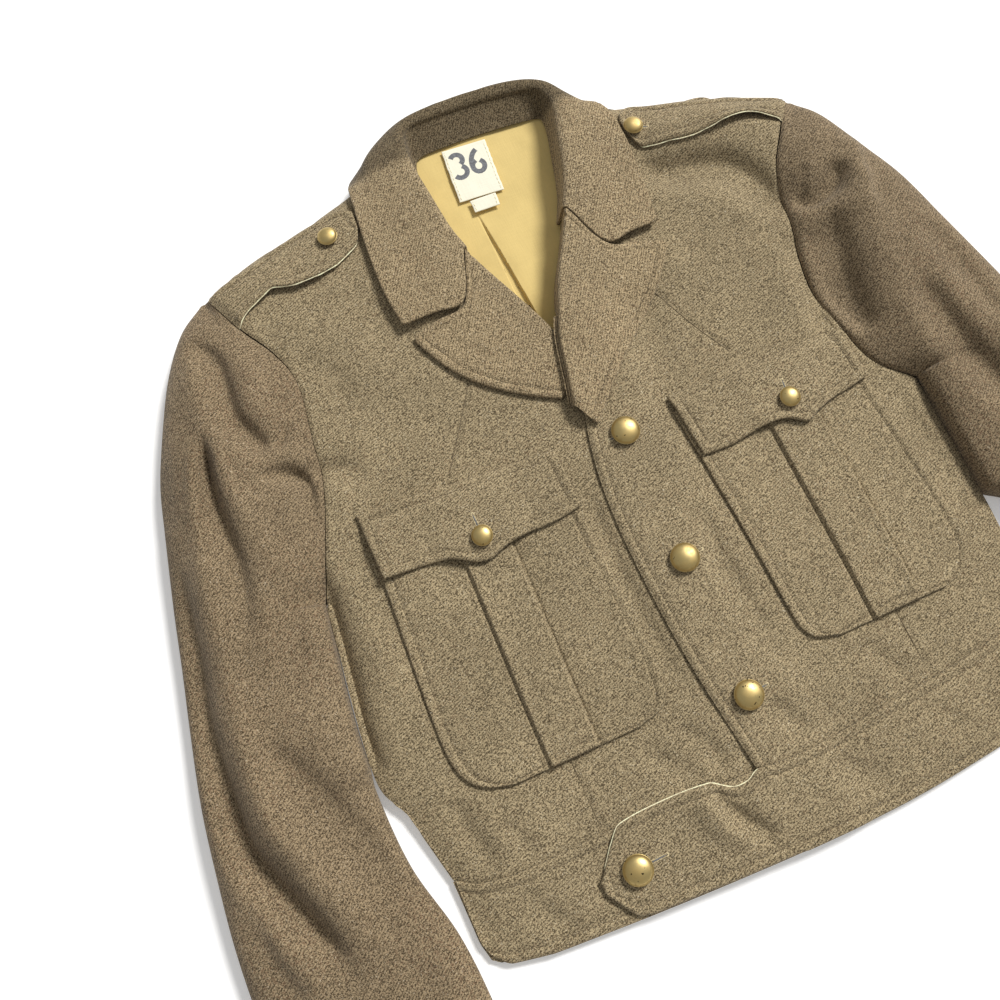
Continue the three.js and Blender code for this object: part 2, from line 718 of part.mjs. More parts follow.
// A front panel: rows from the waist seam to the shoulder, each from the side to the middle.
function frontPanel(hand) {
  const inward = hand === "right" ? 1 : -1;
  const outer = chain(SIDES[hand], ARMHOLES[hand]);
  const grid = gridOf(bodyShares(hand), FRONT_COLUMNS, (v, u) => {
    const a = outer(v);
    const b = rowAt(FRONT_EDGES[hand], v);
    const x = mix(a.x + (inward * SEAM_GAP) / 2, b.x, u);
    const y = mix(a.y, b.y, u) + toWaist(outer(0), FRONT_EDGES[hand][0], u, v);
    return point(x, y, frontTop(hand, x, y));
  });
  return wallBelow(grid, WOOL, (x, y) => seamHeight(y));
}

// The back: rows from the waist seam to the shoulders and neck, flat where it lies.
function backPanel() {
  const columns = shares(BACK_COLUMNS, (t) => mix(closeAtBoth(t), t, BACK_EVENNESS));
  const right = chain(SIDES.right, ARMHOLES.right);
  const left = chain(SIDES.left, ARMHOLES.left);
  const grid = gridOf(bodyShares("right"), columns, (v, u) => {
    const a = right(v);
    const b = left(v);
    const x = mix(a.x + SEAM_GAP / 2, b.x - SEAM_GAP / 2, u);
    const topX = mix(right(1).x, left(1).x, u);
    const toTop = columnAt(BACK_TOP, "x", topX, "y") - SEAM_GAP - mix(right(1).y, left(1).y, u);
    const y = mix(a.y, b.y, u) + toWaist(right(0), left(0), u, v) + toTop * v * v * v;
    return point(x, y, backFoot(handOf(x), x, y));
  });
  return wallAbove(grid, WOOL, (x, y) => seamHeight(y));
}

// Inner edge of a sleeve from the shoulder to the cuff, and where the armhole ends on it
function sleeveInner(hand) {
  const armhole = [...ARMHOLES[hand]].reverse();
  const path = chain(armhole, SLEEVE_INNER[hand]);
  const segments = armhole.length + SLEEVE_INNER[hand].length - 2;
  return { path, armpit: (armhole.length - 1) / segments };
}

function sleevePlace(hand, v, u) {
  const outward = hand === "right" ? -1 : 1;
  const a = rowAt(SLEEVE_OUTER[hand], v);
  const inner = sleeveInner(hand);
  const b = inner.path(v);
  const x = mix(a.x, b.x + outward * SEAM_GAP, u);
  const y = mix(a.y, b.y, u);
  const armhole = ramp(v, inner.armpit + 0.05, inner.armpit - 0.02);
  return { x, y, a, b, armhole };
}

// Upper half of a sleeve, from its outer edge over the crown to the armhole and underarm
function topSleeve(hand) {
  const grid = gridOf(sleeveShares(hand), shares(SLEEVE_COLUMNS, closeAtBoth), (v, u) => {
    const at = sleevePlace(hand, v, u);
    const free = SLEEVE_SEAM_HEIGHT + SEAM_GAP / 2;
    const joined = Math.max(bodyTop(hand, at.b.x, at.b.y), free);
    const start = u < 0.5 ? free : mix(free, joined, at.armhole);
    const power = u < 0.5 ? SLEEVE_DOME : mix(SLEEVE_DOME, ARMHOLE_DOME, at.armhole);
    const across = 2 * Math.sqrt(Math.max(0, u * (1 - u)));
    const dome = across ** power;
    const z = mix(start, at.a.crown, dome) - foldDepth(SLEEVE_FOLDS[hand], at.x, at.y) * dome;
    return point(at.x, at.y, z);
  });
  return wallBelow(grid, WOOL, () => SLEEVE_SEAM_HEIGHT);
}

// Lower half of a sleeve, flat on the surface with both edges turned up to the seams
function underSleeve(hand) {
  const grid = gridOf(sleeveShares(hand), shares(UNDER_SLEEVE_COLUMNS, closeAtBoth), (v, u) => {
    const at = sleevePlace(hand, v, u);
    const seam = SLEEVE_SEAM_HEIGHT - SEAM_GAP / 2;
    const width = Math.hypot(at.a.x - at.b.x, at.a.y - at.b.y);
    const radius = Math.min(SLEEVE_UNDER_ROLL, width / 3);
    const outer = seam * (1 - rolled(u * width, radius));
    const joined = backFoot(hand, at.b.x, at.b.y);
    const inner = mix(seam, joined, at.armhole) * (1 - rolled((1 - u) * width, radius));
    return point(at.x, at.y, outer + inner);
  });
  return wallAbove(grid, WOOL, () => SLEEVE_SEAM_HEIGHT);
}

// One section of a strip that is folded over its roll line: up from the neck, over, and down
function foldedSection(row, restAt) {
  const neck = point(row.neckX, row.neckY, row.neckZ);
  const roll = point(row.rollX, row.rollY, row.rollZ);
  const edge = point(row.edgeX, row.edgeY, row.edgeZ);
  const flat = point(row.leafX, row.leafY, row.rollZ);
  const away = flat.clone().sub(roll);
  const length = away.length();
  away.normalize();
  const leaf = flat.setZ(mix(row.rollZ, row.edgeZ, (0.5 * length) / edge.distanceTo(roll)));
  const stand = [
    neck,
    neck.clone().lerp(roll, 0.44),
    neck.clone().lerp(roll, 0.9).setZ(row.rollZ - ROLL_RADIUS),
    roll.clone().addScaledVector(away, 0.3 * ROLL_RADIUS).setZ(row.rollZ - ROLL_SOFTNESS),
  ];
  const fall = [
    roll.clone().addScaledVector(away, 1.6 * ROLL_RADIUS),
    leaf,
    leaf.clone().lerp(edge, 0.5),
    edge,
  ];
  fall.forEach((p) => p.setZ(Math.max(p.z, restAt(p.x, p.y))));
  return [...stand, ...fall];
}

function foldedStrip(rows, restAt) {
  const steps = (rows.length - 1) * STRIP_STEPS;
  const grid = [];
  for (let i = 0; i <= steps; i += 1) grid.push(foldedSection(rowAt(rows, i / steps), restAt));
  return wallBelow(grid, DOUBLED_WOOL);
}

// How much longer the way through a sloping cloth is upwards than straight through it
function slopeFactor(face, x, y) {
  const step = 2;
  const slopeX = (face(x + step, y) - face(x - step, y)) / (2 * step);
  const slopeY = (face(x, y + step) - face(x, y - step)) / (2 * step);
  return Math.min(Math.hypot(1, slopeX, slopeY), STEEPEST);
}

// Height at which a folded leaf lies on a front; past the shoulder it hangs free.
function leafRest(hand) {
  const face = (x, y) => frontTop(hand, x, y);
  return (x, y) => {
    const beyond = y > columnAt(BACK_TOP, "x", x, "y") + LEAF_OVERHANG;
    const thickness = (LEAF_GAP + DOUBLED_WOOL) * slopeFactor(face, x, y);
    return beyond ? 0 : face(x, y) + thickness;
  };
}

function lapel(hand) {
  const rest = leafRest(hand);
  const inward = hand === "right" ? 1 : -1;
  const rows = LAPELS[hand].map((row) => {
    const height = rest(row.rollX, row.rollY);
    const crossing = hand === "left" ? ramp(row.rollY, CROSSING_FOOT.from, CROSSING_FOOT.to) : 0;
    return {
      neckX: row.rollX + inward,
      neckY: row.rollY + 1,
      neckZ: mix(LAPEL_FOOT, height - CROSSING_FOOT.below, crossing),
      rollX: row.rollX,
      rollY: row.rollY,
      rollZ: height + LAPEL_ROLL_RISE,
      leafX: row.leafX,
      leafY: row.leafY,
      edgeX: row.edgeX,
      edgeY: row.edgeY,
      edgeZ: rest(row.edgeX, row.edgeY),
    };
  });
  return foldedStrip(rows, rest);
}

function collar() {
  const rest = (x, y) => leafRest(handOf(x))(x, y);
  return foldedStrip(COLLAR, rest);
}

// The rise of the box pleat at a place of a pocket
function pleatRise(hand, x, y) {
  const pleat = PLEATS[hand];
  const middle = mix(pleat.topX, pleat.footX, ramp(y, 100, -96));
  const side = Math.abs(x - middle) - pleat.width / 2;
  return PLEAT_RISE * ramp(side, 1.5, -1.5);
}

const pocketFoot = (hand) => (x, y) => frontTop(hand, x, y) + REST_GAP;
const pocketTop = (hand) => (x, y) => pocketFoot(hand)(x, y) + WOOL + pleatRise(hand, x, y);

// Columns of a pocket stand close on both sides of each edge of its pleat.
const POCKET_COLUMNS = [0, 0.06, 0.2, 0.36, 0.395, 0.42, 0.5, 0.58, 0.605, 0.64, 0.8, 0.94, 1];

function pocket(hand) {
  const pleat = PLEATS[hand];
  const rows = [0, 0.13, 0.27, 0.41, 0.56, 0.68, 0.78, 0.88, 0.95, 1];
  const grid = rows.map((v) => {
    const at = rowAt(POCKETS[hand], v);
    const middle = mix(pleat.topX, pleat.footX, ramp(at.y, 100, -96));
    const half = pleat.width / 2;
    const near = Math.sign(at.near - middle);
    return POCKET_COLUMNS.map((u) => {
      const edge = u < 0.5 ? at.near : at.far;
      const from = middle + (u < 0.5 ? near : -near) * (half + 1.5);
      const share = Math.abs(u - 0.5);
      const fold = 0.105;
      const inside = from + ((middle - from) * Math.max(0, fold - share)) / fold;
      const outside = mix(from, edge, clamp((share - fold) / (0.5 - fold), 0, 1));
      return point(share > fold ? outside : inside, at.y, 0);
    });
  });
  return overlay(grid, pocketFoot(hand), pocketTop(hand));
}

// A flap lies on the front along its top seam, and on its pocket further down.
function flapFoot(hand) {
  return (x, y) => {
    const onPocket = ramp(y, FLAP_RISE_FROM, FLAP_RISE_TO);
    const rise = (WOOL + REST_GAP + pleatSoft(hand, x, y)) * onPocket;
    return frontTop(hand, x, y) + REST_GAP + rise;
  };
}

// The pleat as it shows through the flap over it: lower and softer at its edges
function pleatSoft(hand, x, y) {
  const pleat = PLEATS[hand];
  const middle = mix(pleat.topX, pleat.footX, ramp(y, 100, -96));
  const side = Math.abs(x - middle) - pleat.width / 2;
  return (PLEAT_RISE + 0.3) * ramp(side, 22, 1);
}

const flapTop = (hand) => (x, y) => flapFoot(hand)(x, y) + DOUBLED_WOOL;

function flap(hand) {
  const steps = (FLAPS[hand].length - 1) * 2;
  const rows = [0, 0.1, 0.24, 0.4, 0.7, 1];
  const grid = rows.map((v) => {
    const row = [];
    for (let k = 0; k <= steps; k += 1) {
      const at = rowAt(FLAPS[hand], k / steps);
      row.push(point(at.x + FLAP_LEAN[hand] * v, mix(at.top, at.foot, v), 0));
    }
    return row;
  });
  return overlay(grid, flapFoot(hand), flapTop(hand));
}

const strapFoot = (hand) => (x, y) => frontTop(hand, x, y) + REST_GAP;
const strapTop = (hand) => (x, y) => strapFoot(hand)(x, y) + DOUBLED_WOOL;

function strap(hand) {
  const steps = (STRAPS[hand].length - 1) * 2;
  const rows = [0, 0.3, 0.55, 0.75, 0.9, 1];
  const grid = rows.map((v) => {
    const row = [];
    for (let k = 0; k <= steps; k += 1) {
      const at = rowAt(STRAPS[hand], k / steps);
      row.push(point(at.x, mix(at.low, at.high, v), 0));
    }
    return row;
  });
  return overlay(grid, strapFoot(hand), strapTop(hand));
}

// The waistband lies a little proud of the panels above it.
const BAND_PROUD = 0.8;
const bandTop = (hand) => (x, y) => bodyTop(hand, x, y) + BAND_PROUD;
const tabLift = (x) => (REST_GAP + DOUBLED_WOOL) * ramp(x, OVERLAP_END + OVERLAP_FADE, OVERLAP_END);
const tabTop = (x, y) => bandTop("left")(x, y) + tabLift(x);

function bandGrid(from, to, columns, edges) {
  return gridOf(shares(BAND_ROWS), columns, (v, u) => {
    const x = mix(from, to, u);
    const at = edges(x);
    return point(x, mix(at.high, at.low, v), 0);
  });
}

const waistEdges = (x) => ({
  high: columnAt(WAIST, "x", x, "seam") - 2 * SEAM_GAP,
  low: columnAt(WAIST, "x", x, "hem"),
});

const BAND_ENDS = {
  right: WAIST[0].x + BAND_SIDE_INSET,
  left: WAIST[WAIST.length - 1].x - BAND_SIDE_INSET,
};

function rightBand() {
  const grid = bandGrid(BAND_ENDS.right, OVERLAP_END - 8, shares(BAND_COLUMNS, closeAtStart), waistEdges);
  const raised = grid.map((row) => row.map((p) => point(p.x, p.y, bandTop("right")(p.x, p.y))));
  return wallBelow(raised, DOUBLED_WOOL, (x, y) => seamHeight(y));
}

function leftBand() {
  const tabEnd = TAB[TAB.length - 1].x;
  const edges = (x) => {
    const plain = waistEdges(x);
    if (x > tabEnd) return plain;
    const high = columnAt(TAB, "x", x, "high");
    const low = columnAt(TAB, "x", x, "low");
    return { high, low };
  };
  const tabShare = 0.08;
  const tab = shares(TAB_END_COLUMNS).map((t) => t * tabShare);
  const rest = shares(BAND_COLUMNS, (t) => 1 - closeAtStart(1 - t)).map((t) => mix(tabShare, 1, t));
  const grid = bandGrid(TAB[0].x, BAND_ENDS.left, [...tab, ...rest.slice(1)], edges);
  const raised = grid.map((row) => row.map((p) => point(p.x, p.y, tabTop(p.x, p.y))));
  return wallBelow(raised, DOUBLED_WOOL, (x, y) => seamHeight(y));
}

function backBand() {
  const grid = bandGrid(BAND_ENDS.right, BAND_ENDS.left, shares(BAND_COLUMNS, closeAtBoth), waistEdges);
  const laid = grid.map((row) => row.map((p) => point(p.x, p.y, backFoot(handOf(p.x), p.x, p.y))));
  return wallAbove(laid, DOUBLED_WOOL, (x, y) => seamHeight(y));
}

// The lining lies on the back, with the edge of its middle pleat raised.
const LINING_FOOT = WOOL + REST_GAP;
const liningFoot = (x, y) => LINING_FOOT + 1.3 * backFoot(handOf(x), x, y);
function liningTop(x, y) {
  const across = (x - LINING_PLEAT.x) / LINING_PLEAT.width;
  const fold = across < 0 ? ramp(across, -0.12, 0) : ramp(across, 1, 0);
  return liningFoot(x, y) + COTTON + LINING_PLEAT.rise * fold;
}

function lining() {
  const columns = [0, 0.2, 0.36, 0.42, 0.45, 0.5, 0.58, 0.7, 0.85, 1];
  const grid = gridOf(shares(8), columns, (v, u) => {
    const at = rowAt(LINING, v);
    return point(mix(at.near, at.far, u), at.y, 0);
  });
  return overlay(grid, liningFoot, liningTop);
}

function labelSolid(size, foot) {
  const grid = gridOf(shares(1), shares(4), (v, u) => {
    const across = (u - 0.5) * size.width;
    const up = (0.5 - v) * size.height;
    const cos = Math.cos(size.turn);
    const sin = Math.sin(size.turn);
    return point(size.x + across * cos - up * sin, size.y + across * sin + up * cos, 0);
  });
  return overlay(grid, () => foot, () => foot + LABEL_CLOTH);
}

// A domed button with a short shank, its rim rounded
function buttonGeometry(kind) {
  const profile = [
    new THREE.Vector2(0, 0),
    new THREE.Vector2(SHANK_RADIUS, 0),
    new THREE.Vector2(SHANK_RADIUS, SHANK_HEIGHT),
    new THREE.Vector2(kind.radius - 0.8, SHANK_HEIGHT),
    new THREE.Vector2(kind.radius, SHANK_HEIGHT + 0.9),
    new THREE.Vector2(kind.radius * 0.86, SHANK_HEIGHT + kind.dome * 0.55),
    new THREE.Vector2(kind.radius * 0.5, SHANK_HEIGHT + kind.dome * 0.9),
    new THREE.Vector2(0, SHANK_HEIGHT + kind.dome),
  ];
  const geometry = new THREE.LatheGeometry(profile, BUTTON_SIDES);
  geometry.rotateX(Math.PI / 2);
  return geometry;
}

const FACES_UNDER_BUTTONS = {
  left_front: (hand) => (x, y) => frontTop(hand, x, y),
  tab: () => (x, y) => tabTop(x, y),
  flap: flapTop,
  strap: strapTop,
};

function buttonMesh(row, material) {
  const face = FACES_UNDER_BUTTONS[row.over](row.on);
  const step = row.kind.radius * 0.6;
  const slopeX = (face(row.x + step, row.y) - face(row.x - step, row.y)) / (2 * step);
  const slopeY = (face(row.x, row.y + step) - face(row.x, row.y - step)) / (2 * step);
  const normal = point(-slopeX, -slopeY, 1).normalize();
  let clear = SEAM_GAP;
  for (let k = 0; k < 16; k += 1) {
    const reach = k % 2 ? row.kind.radius : SHANK_RADIUS;
    const dx = reach * Math.cos((Math.PI * k) / 8);
    const dy = reach * Math.sin((Math.PI * k) / 8);
    const above = face(row.x + dx, row.y + dy) - face(row.x, row.y) - slopeX * dx - slopeY * dy;
    clear = Math.max(clear, above * normal.z + SEAM_GAP - (k % 2 ? SHANK_HEIGHT : 0));
  }
  const mesh = new THREE.Mesh(buttonGeometry(row.kind), material);
  mesh.name = row.name;
  mesh.position.set(row.x, row.y, face(row.x, row.y)).addScaledVector(normal, clear);
  mesh.quaternion.setFromUnitVectors(point(0, 0, 1), normal);
  return mesh;
}

const woolColour = 0x5a4a36;
const makeMaterial = (color, roughness, metalness) =>
  new THREE.MeshStandardMaterial({ color, roughness, metalness, side: THREE.DoubleSide });

function clothMesh(name, geometry, color = woolColour) {
  const mesh = new THREE.Mesh(geometry, makeMaterial(color, 0.95, 0));
  mesh.name = name;
  return mesh;
}

const jacket = new THREE.Group();
jacket.name = "wool_military_jacket";
jacket.add(clothMesh("back", backPanel()));
jacket.add(clothMesh("waistband_back", backBand()));
for (const hand of ["right", "left"]) {
  jacket.add(clothMesh("front_" + hand, frontPanel(hand)));
  jacket.add(clothMesh("top_sleeve_" + hand, topSleeve(hand)));
  jacket.add(clothMesh("under_sleeve_" + hand, underSleeve(hand)));
  jacket.add(clothMesh("lapel_" + hand, lapel(hand)));
  jacket.add(clothMesh("pocket_" + hand, pocket(hand)));
  jacket.add(clothMesh("flap_" + hand, flap(hand)));
  jacket.add(clothMesh("shoulder_strap_" + hand, strap(hand)));
}
jacket.add(clothMesh("waistband_right", rightBand()));
jacket.add(clothMesh("waistband_left", leftBand()));
jacket.add(clothMesh("collar", collar()));
jacket.add(clothMesh("lining_back", lining(), 0xb8924f));
const labelFoot = LINING_FOOT + COTTON + LINING_PLEAT.rise + REST_GAP;
jacket.add(clothMesh("size_label", labelSolid(SIZE_LABEL, labelFoot), 0xe4dcc0));
const smallFoot = labelFoot + LABEL_CLOTH + SEAM_GAP;
jacket.add(clothMesh("small_label", labelSolid(SMALL_LABEL, smallFoot), 0xf2efe6));
for (const row of BUTTONS) jacket.add(buttonMesh(row, makeMaterial(0xa98a4a, 0.35, 1)));

// The part's own frame: the middle of the footprint, on the surface
const box = new THREE.Box3().setFromObject(jacket, true);
const middle = box.getCenter(point(0, 0, 0));
jacket.position.set(-middle.x, -middle.y, -box.min.z);
const part = new THREE.Group();
part.add(jacket);

export default part;
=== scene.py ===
"""Wool military jacket, fastened and laid out flat on its back.

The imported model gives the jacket's place and size. This script cuts the cloth pieces finely,
lays them on each other, sews them and gives them their finishes. Tables are in millimetres in
the jacket's own frame: X is 0 on the button line and grows towards the wearer's left, Y is 0
at the middle front button and grows towards the collar, and Z is 0 on the floor.
"""

import math

import bmesh
import bpy
import numpy as np
from bpy.props import FloatProperty, FloatVectorProperty, PointerProperty
from mathutils import Matrix, Vector


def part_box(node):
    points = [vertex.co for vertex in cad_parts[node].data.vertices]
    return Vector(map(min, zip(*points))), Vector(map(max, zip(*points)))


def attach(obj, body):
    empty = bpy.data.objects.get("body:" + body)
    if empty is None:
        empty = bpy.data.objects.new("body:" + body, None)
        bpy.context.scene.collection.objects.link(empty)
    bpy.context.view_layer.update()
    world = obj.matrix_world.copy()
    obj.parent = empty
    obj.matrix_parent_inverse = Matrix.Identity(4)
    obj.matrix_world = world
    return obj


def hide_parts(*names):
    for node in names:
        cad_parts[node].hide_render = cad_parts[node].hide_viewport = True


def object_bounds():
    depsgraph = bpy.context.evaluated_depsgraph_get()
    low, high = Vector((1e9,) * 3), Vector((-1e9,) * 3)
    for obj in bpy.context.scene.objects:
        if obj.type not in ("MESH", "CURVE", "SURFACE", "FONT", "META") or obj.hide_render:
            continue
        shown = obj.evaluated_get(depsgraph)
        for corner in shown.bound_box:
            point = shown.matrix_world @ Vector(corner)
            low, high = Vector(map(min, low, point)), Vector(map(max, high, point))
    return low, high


bl_info = {
    "name": "Wool Military Jacket",
    "version": (1, 0, 0),
    "blender": (4, 5, 0),
    "location": "View3D > Sidebar > Jacket",
    "description": "Cuts, sews and finishes a short wool jacket that lies flat",
    "category": "Add Mesh",
}

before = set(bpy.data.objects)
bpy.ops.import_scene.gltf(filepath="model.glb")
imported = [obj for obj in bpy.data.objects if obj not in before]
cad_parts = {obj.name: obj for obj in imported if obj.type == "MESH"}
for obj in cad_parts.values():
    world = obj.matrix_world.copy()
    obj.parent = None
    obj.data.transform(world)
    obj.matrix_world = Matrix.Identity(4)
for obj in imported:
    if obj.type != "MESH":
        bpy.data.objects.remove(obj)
CAD_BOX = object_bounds()

MM = 0.001
HANDS = ("right", "left")

# Seams and the gaps between pieces that lie on each other
SEAM_GAP = 0.4
SEWN_GAP = 0.05
SEAM_DENT = 0.9
REST_GAP = 0.6

# How the body rolls over at its edges
SIDE_ROLL = 31
SIDE_STEEPNESS = 1.6
SHOULDER_ROLL = 34
BACK_ROLL = 18
SEAM_SHARE = 0.42
CROSS_FALL = 0.00008
BODY_MIDDLE = -10


class Table:
    """Rows with named columns, read between the rows on smooth curves."""

    def __init__(self, names, *rows):
        self.names = names.split()
        self.rows = np.array(rows, float)

    def at(self, share):
        share = np.asarray(share, float)
        last = len(self.rows) - 1
        place = np.clip(share, 0, 1) * last
        i = np.minimum(place.astype(int), last - 1)
        f = (place - i)[..., None]
        b, c = self.rows[i], self.rows[i + 1]
        a = np.where((i > 0)[..., None], self.rows[np.maximum(i - 1, 0)], 2 * b - c)
        d = np.where((i + 2 <= last)[..., None], self.rows[np.minimum(i + 2, last)], 2 * c - b)
        bend = 2 * a - 5 * b + 4 * c - d
        twist = 3 * b - a - 3 * c + d
        values = b + 0.5 * f * (c - a + f * (bend + f * twist))
        return dict(zip(self.names, np.moveaxis(values, -1, 0)))

    def column(self, name):
        return self.rows[:, self.names.index(name)]

    def read(self, key, value, wanted):
        """One column at a value of another column, which rises or falls steadily."""
        keys = self.column(key)
        way = 1 if keys[-1] > keys[0] else -1
        value = np.asarray(value, float)
        i = np.clip(np.searchsorted(way * keys, way * value) - 1, 0, len(keys) - 2)
        t = np.clip((value - keys[i]) / (keys[i + 1] - keys[i]), 0, 1)
        return self.at((i + t) / (len(keys) - 1))[wanted]

    def points(self, first="x", second="y"):
        return np.stack([self.column(first), self.column(second)], axis=1)


BODY_HEIGHTS = Table(
    "y z", (-225, 8.4), (-150, 13.6), (-60, 18.5), (60, 21.5), (180, 24.5), (300, 28), (400, 28)
)

# Outlines, upwards from the waist seam to the armpit and on to the shoulder
SIDES = {
    "right": Table("x y", (-243, -134), (-255, -84), (-268, -48), (-254, 75)),
    "left": Table("x y", (222, -130), (231, -83), (232, -10), (232, 56)),
}
ARMHOLES = {
    "right": Table(
        "x y",
        (-254, 75), (-238, 113), (-221, 159), (-215, 196),
        (-209, 242), (-217, 272), (-234, 302), (-249, 338),
    ),
    "left": Table(
        "x y",
        (232, 56), (207, 76), (196, 106), (190, 156),
        (200, 212), (211, 257), (232, 289), (251, 314),
    ),
}
SHOULDERS = {
    "right": Table(
        "x y", (-74, 391), (-105, 382), (-149, 369), (-185, 362), (-223, 352), (-250, 341)
    ),
    "left": Table(
        "x y", (92, 379), (109, 368), (136, 360), (170, 351), (197, 342), (252, 316)
    ),
}
FRONT_EDGES = {
    "right": Table(
        "x y",
        (20, -155), (20, -60), (20, 20), (19, 90), (4, 140), (-10, 174),
        (-22, 200), (-38, 238), (-58, 292), (-66, 346), (-70, 388),
    ),
    "left": Table(
        "x y",
        (-19, -159), (-30, -72), (-34, 0), (-33, 60), (-26, 106), (-16, 143),
        (-5, 190), (18, 236), (47, 290), (70, 346), (88, 378),
    ),
}
BACK_TOP = Table(
    "x y",
    (-249, 338.6), (-223, 351), (-149, 369), (-74, 390), (-50, 394), (8, 391),
    (70, 387), (92, 378), (136, 360), (197, 342), (251, 314.6),
)
WAIST = Table(
    "x seam hem",
    (-246, -136, -196), (-230, -146, -203), (-200, -151, -209), (-130, -151, -214),
    (-50, -154, -218), (20, -158, -220), (79, -154, -219), (150, -148, -213),
    (205, -140, -204), (225, -131, -194),
)
WAIST_BEND = 0.2
SHOULDER_BEND = 5
NECK_MIDDLE = 9
NECK_CLEAR = (76, 88)
BAND_SIDE_INSET = 3
SIDE_LINE_STEPS = 60

# Where the left front is lifted over the right one, and over the right lapel
OVERLAP_END = 24
OVERLAP_FADE = 26
OVERLAP_LIFT = 3.5
LAPEL_CROSSING = {
    "from": 152, "to": 208, "fade_down": 28, "fade_up": 26, "x": 4, "fade_out": 56, "lift": 4.4
}

SLEEVE_OUTER = {
    "right": Table(
        "x y crown",
        (-257, 339, 12), (-279, 321, 24), (-300, 290, 32), (-319, 250, 35), (-335, 210, 37),
        (-346, 165, 38), (-357, 118, 38), (-366, 75, 37), (-376, 30, 36), (-386, -20, 34),
        (-392, -65, 33), (-397, -116, 31), (-398, -166, 28), (-395, -224, 24), (-388, -287, 19),
    ),
    "left": Table(
        "x y crown",
        (259, 311, 12), (273, 290, 25), (288, 254, 34), (306, 212, 37), (320, 158, 38),
        (333, 106, 38), (340, 76, 37), (346, 50, 36), (353, 16, 35), (361, -30, 34),
        (366, -72, 33), (369, -118, 31), (370, -168, 28), (367, -226, 24), (360, -288, 19),
    ),
}
SLEEVE_INNER = {
    "right": Table(
        "x y",
        (-254, 75), (-261.5, 30), (-267.5, -20), (-270, -65),
        (-267, -118), (-254, -172), (-250, -226), (-252, -282),
    ),
    "left": Table(
        "x y",
        (232, 56), (239, 18), (245, -30), (247, -72),
        (245, -118), (233, -174), (229, -228), (231, -284),
    ),
}
CUFF_HEM = 9
SLEEVE_SEAM_HEIGHT = 8.4
SIDE_TOUCH = (-58, -42)
SLEEVE_UNDER_ROLL = 16
SLEEVE_DOME = 0.8
ARMHOLE_DOME = 2

# The main creases, each along rows of a place, its width and its depth. A depth under 0 is a
# ridge. Each is steeper on the left of its way, so most run down and have a steep inner side
CREASE = "x y width depth"
CREASE_END = 0.16
CREASE_LEAN = 0.42
CREASE_SHOULDER = 0.3
CREASE_STRENGTH = 1.5
FRONT_CREASES = {
    "right": [
        [(-226, 172, 8, 2.0), (-206, 170, 9, 2.4), (-186, 152, 12, 1.0)],
        [
            (-244, 112, 7, 1.6), (-252, 66, 11, 3.4), (-259, 20, 13, 4.2), (-265, -22, 13, 4.2),
            (-260, -62, 10, 2.0),
        ],
        [(-208, 262, 14, 1.4), (-184, 240, 16, 1.6), (-172, 190, 20, 1.0)],
        [(-150, 300, 18, 0.8), (-122, 254, 20, 1.4), (-112, 214, 18, 1.2)],
        [(-222, -84, 7, 1.2), (-220, -112, 8, 1.8), (-212, -142, 8, 1.0)],
        [(-196, -112, 6, 0.8), (-190, -130, 6, 1.0), (-184, -148, 6, 0.8)],
        [(-88, -108, 8, 1.0), (-70, -128, 9, 1.4), (-52, -150, 8, 1.0)],
        [(-43, 84, 6, 1.4), (-45, 0, 7, 1.8), (-41, -92, 7, 1.4)],
        [(-60, -106, 9, 1.2), (-46, -120, 9, 2.0), (-34, -146, 9, 2.4)],
        [(-224, 40, 9, -1.0), (-220, -20, 10, -1.2), (-224, -80, 9, -0.8)],
    ],
    "left": [
        [
            (104, 312, 9, 2.0), (114, 302, 12, 5.4), (134, 294, 15, 7.4), (158, 289, 17, 8.0),
            (178, 280, 18, 7.8), (192, 262, 18, 7.2), (199, 238, 16, 5.8), (199, 210, 12, 3.4),
        ],
        [(196, 206, 8, 2.6), (191, 160, 9, 3.4), (186, 128, 9, 3.0), (178, 100, 8, 1.4)],
        [(27, 40, 8, 1.6), (28, -30, 10, 2.4), (33, -104, 10, 1.6)],
        [(24, 112, 9, 0.8), (44, 134, 11, 1.4), (58, 176, 12, 1.0)],
        [(64, 240, 14, 1.0), (66, 206, 15, 1.5), (58, 162, 13, 1.0)],
        [(208, 66, 9, 1.4), (214, 0, 9, 2.0), (212, -70, 9, 1.2)],
        [(10, -110, 8, 0.8), (18, -130, 8, 1.4), (30, -150, 8, 1.0)],
        [(92, -108, 8, 0.8), (104, -126, 8, 1.2), (112, -146, 8, 0.9)],
    ],
}
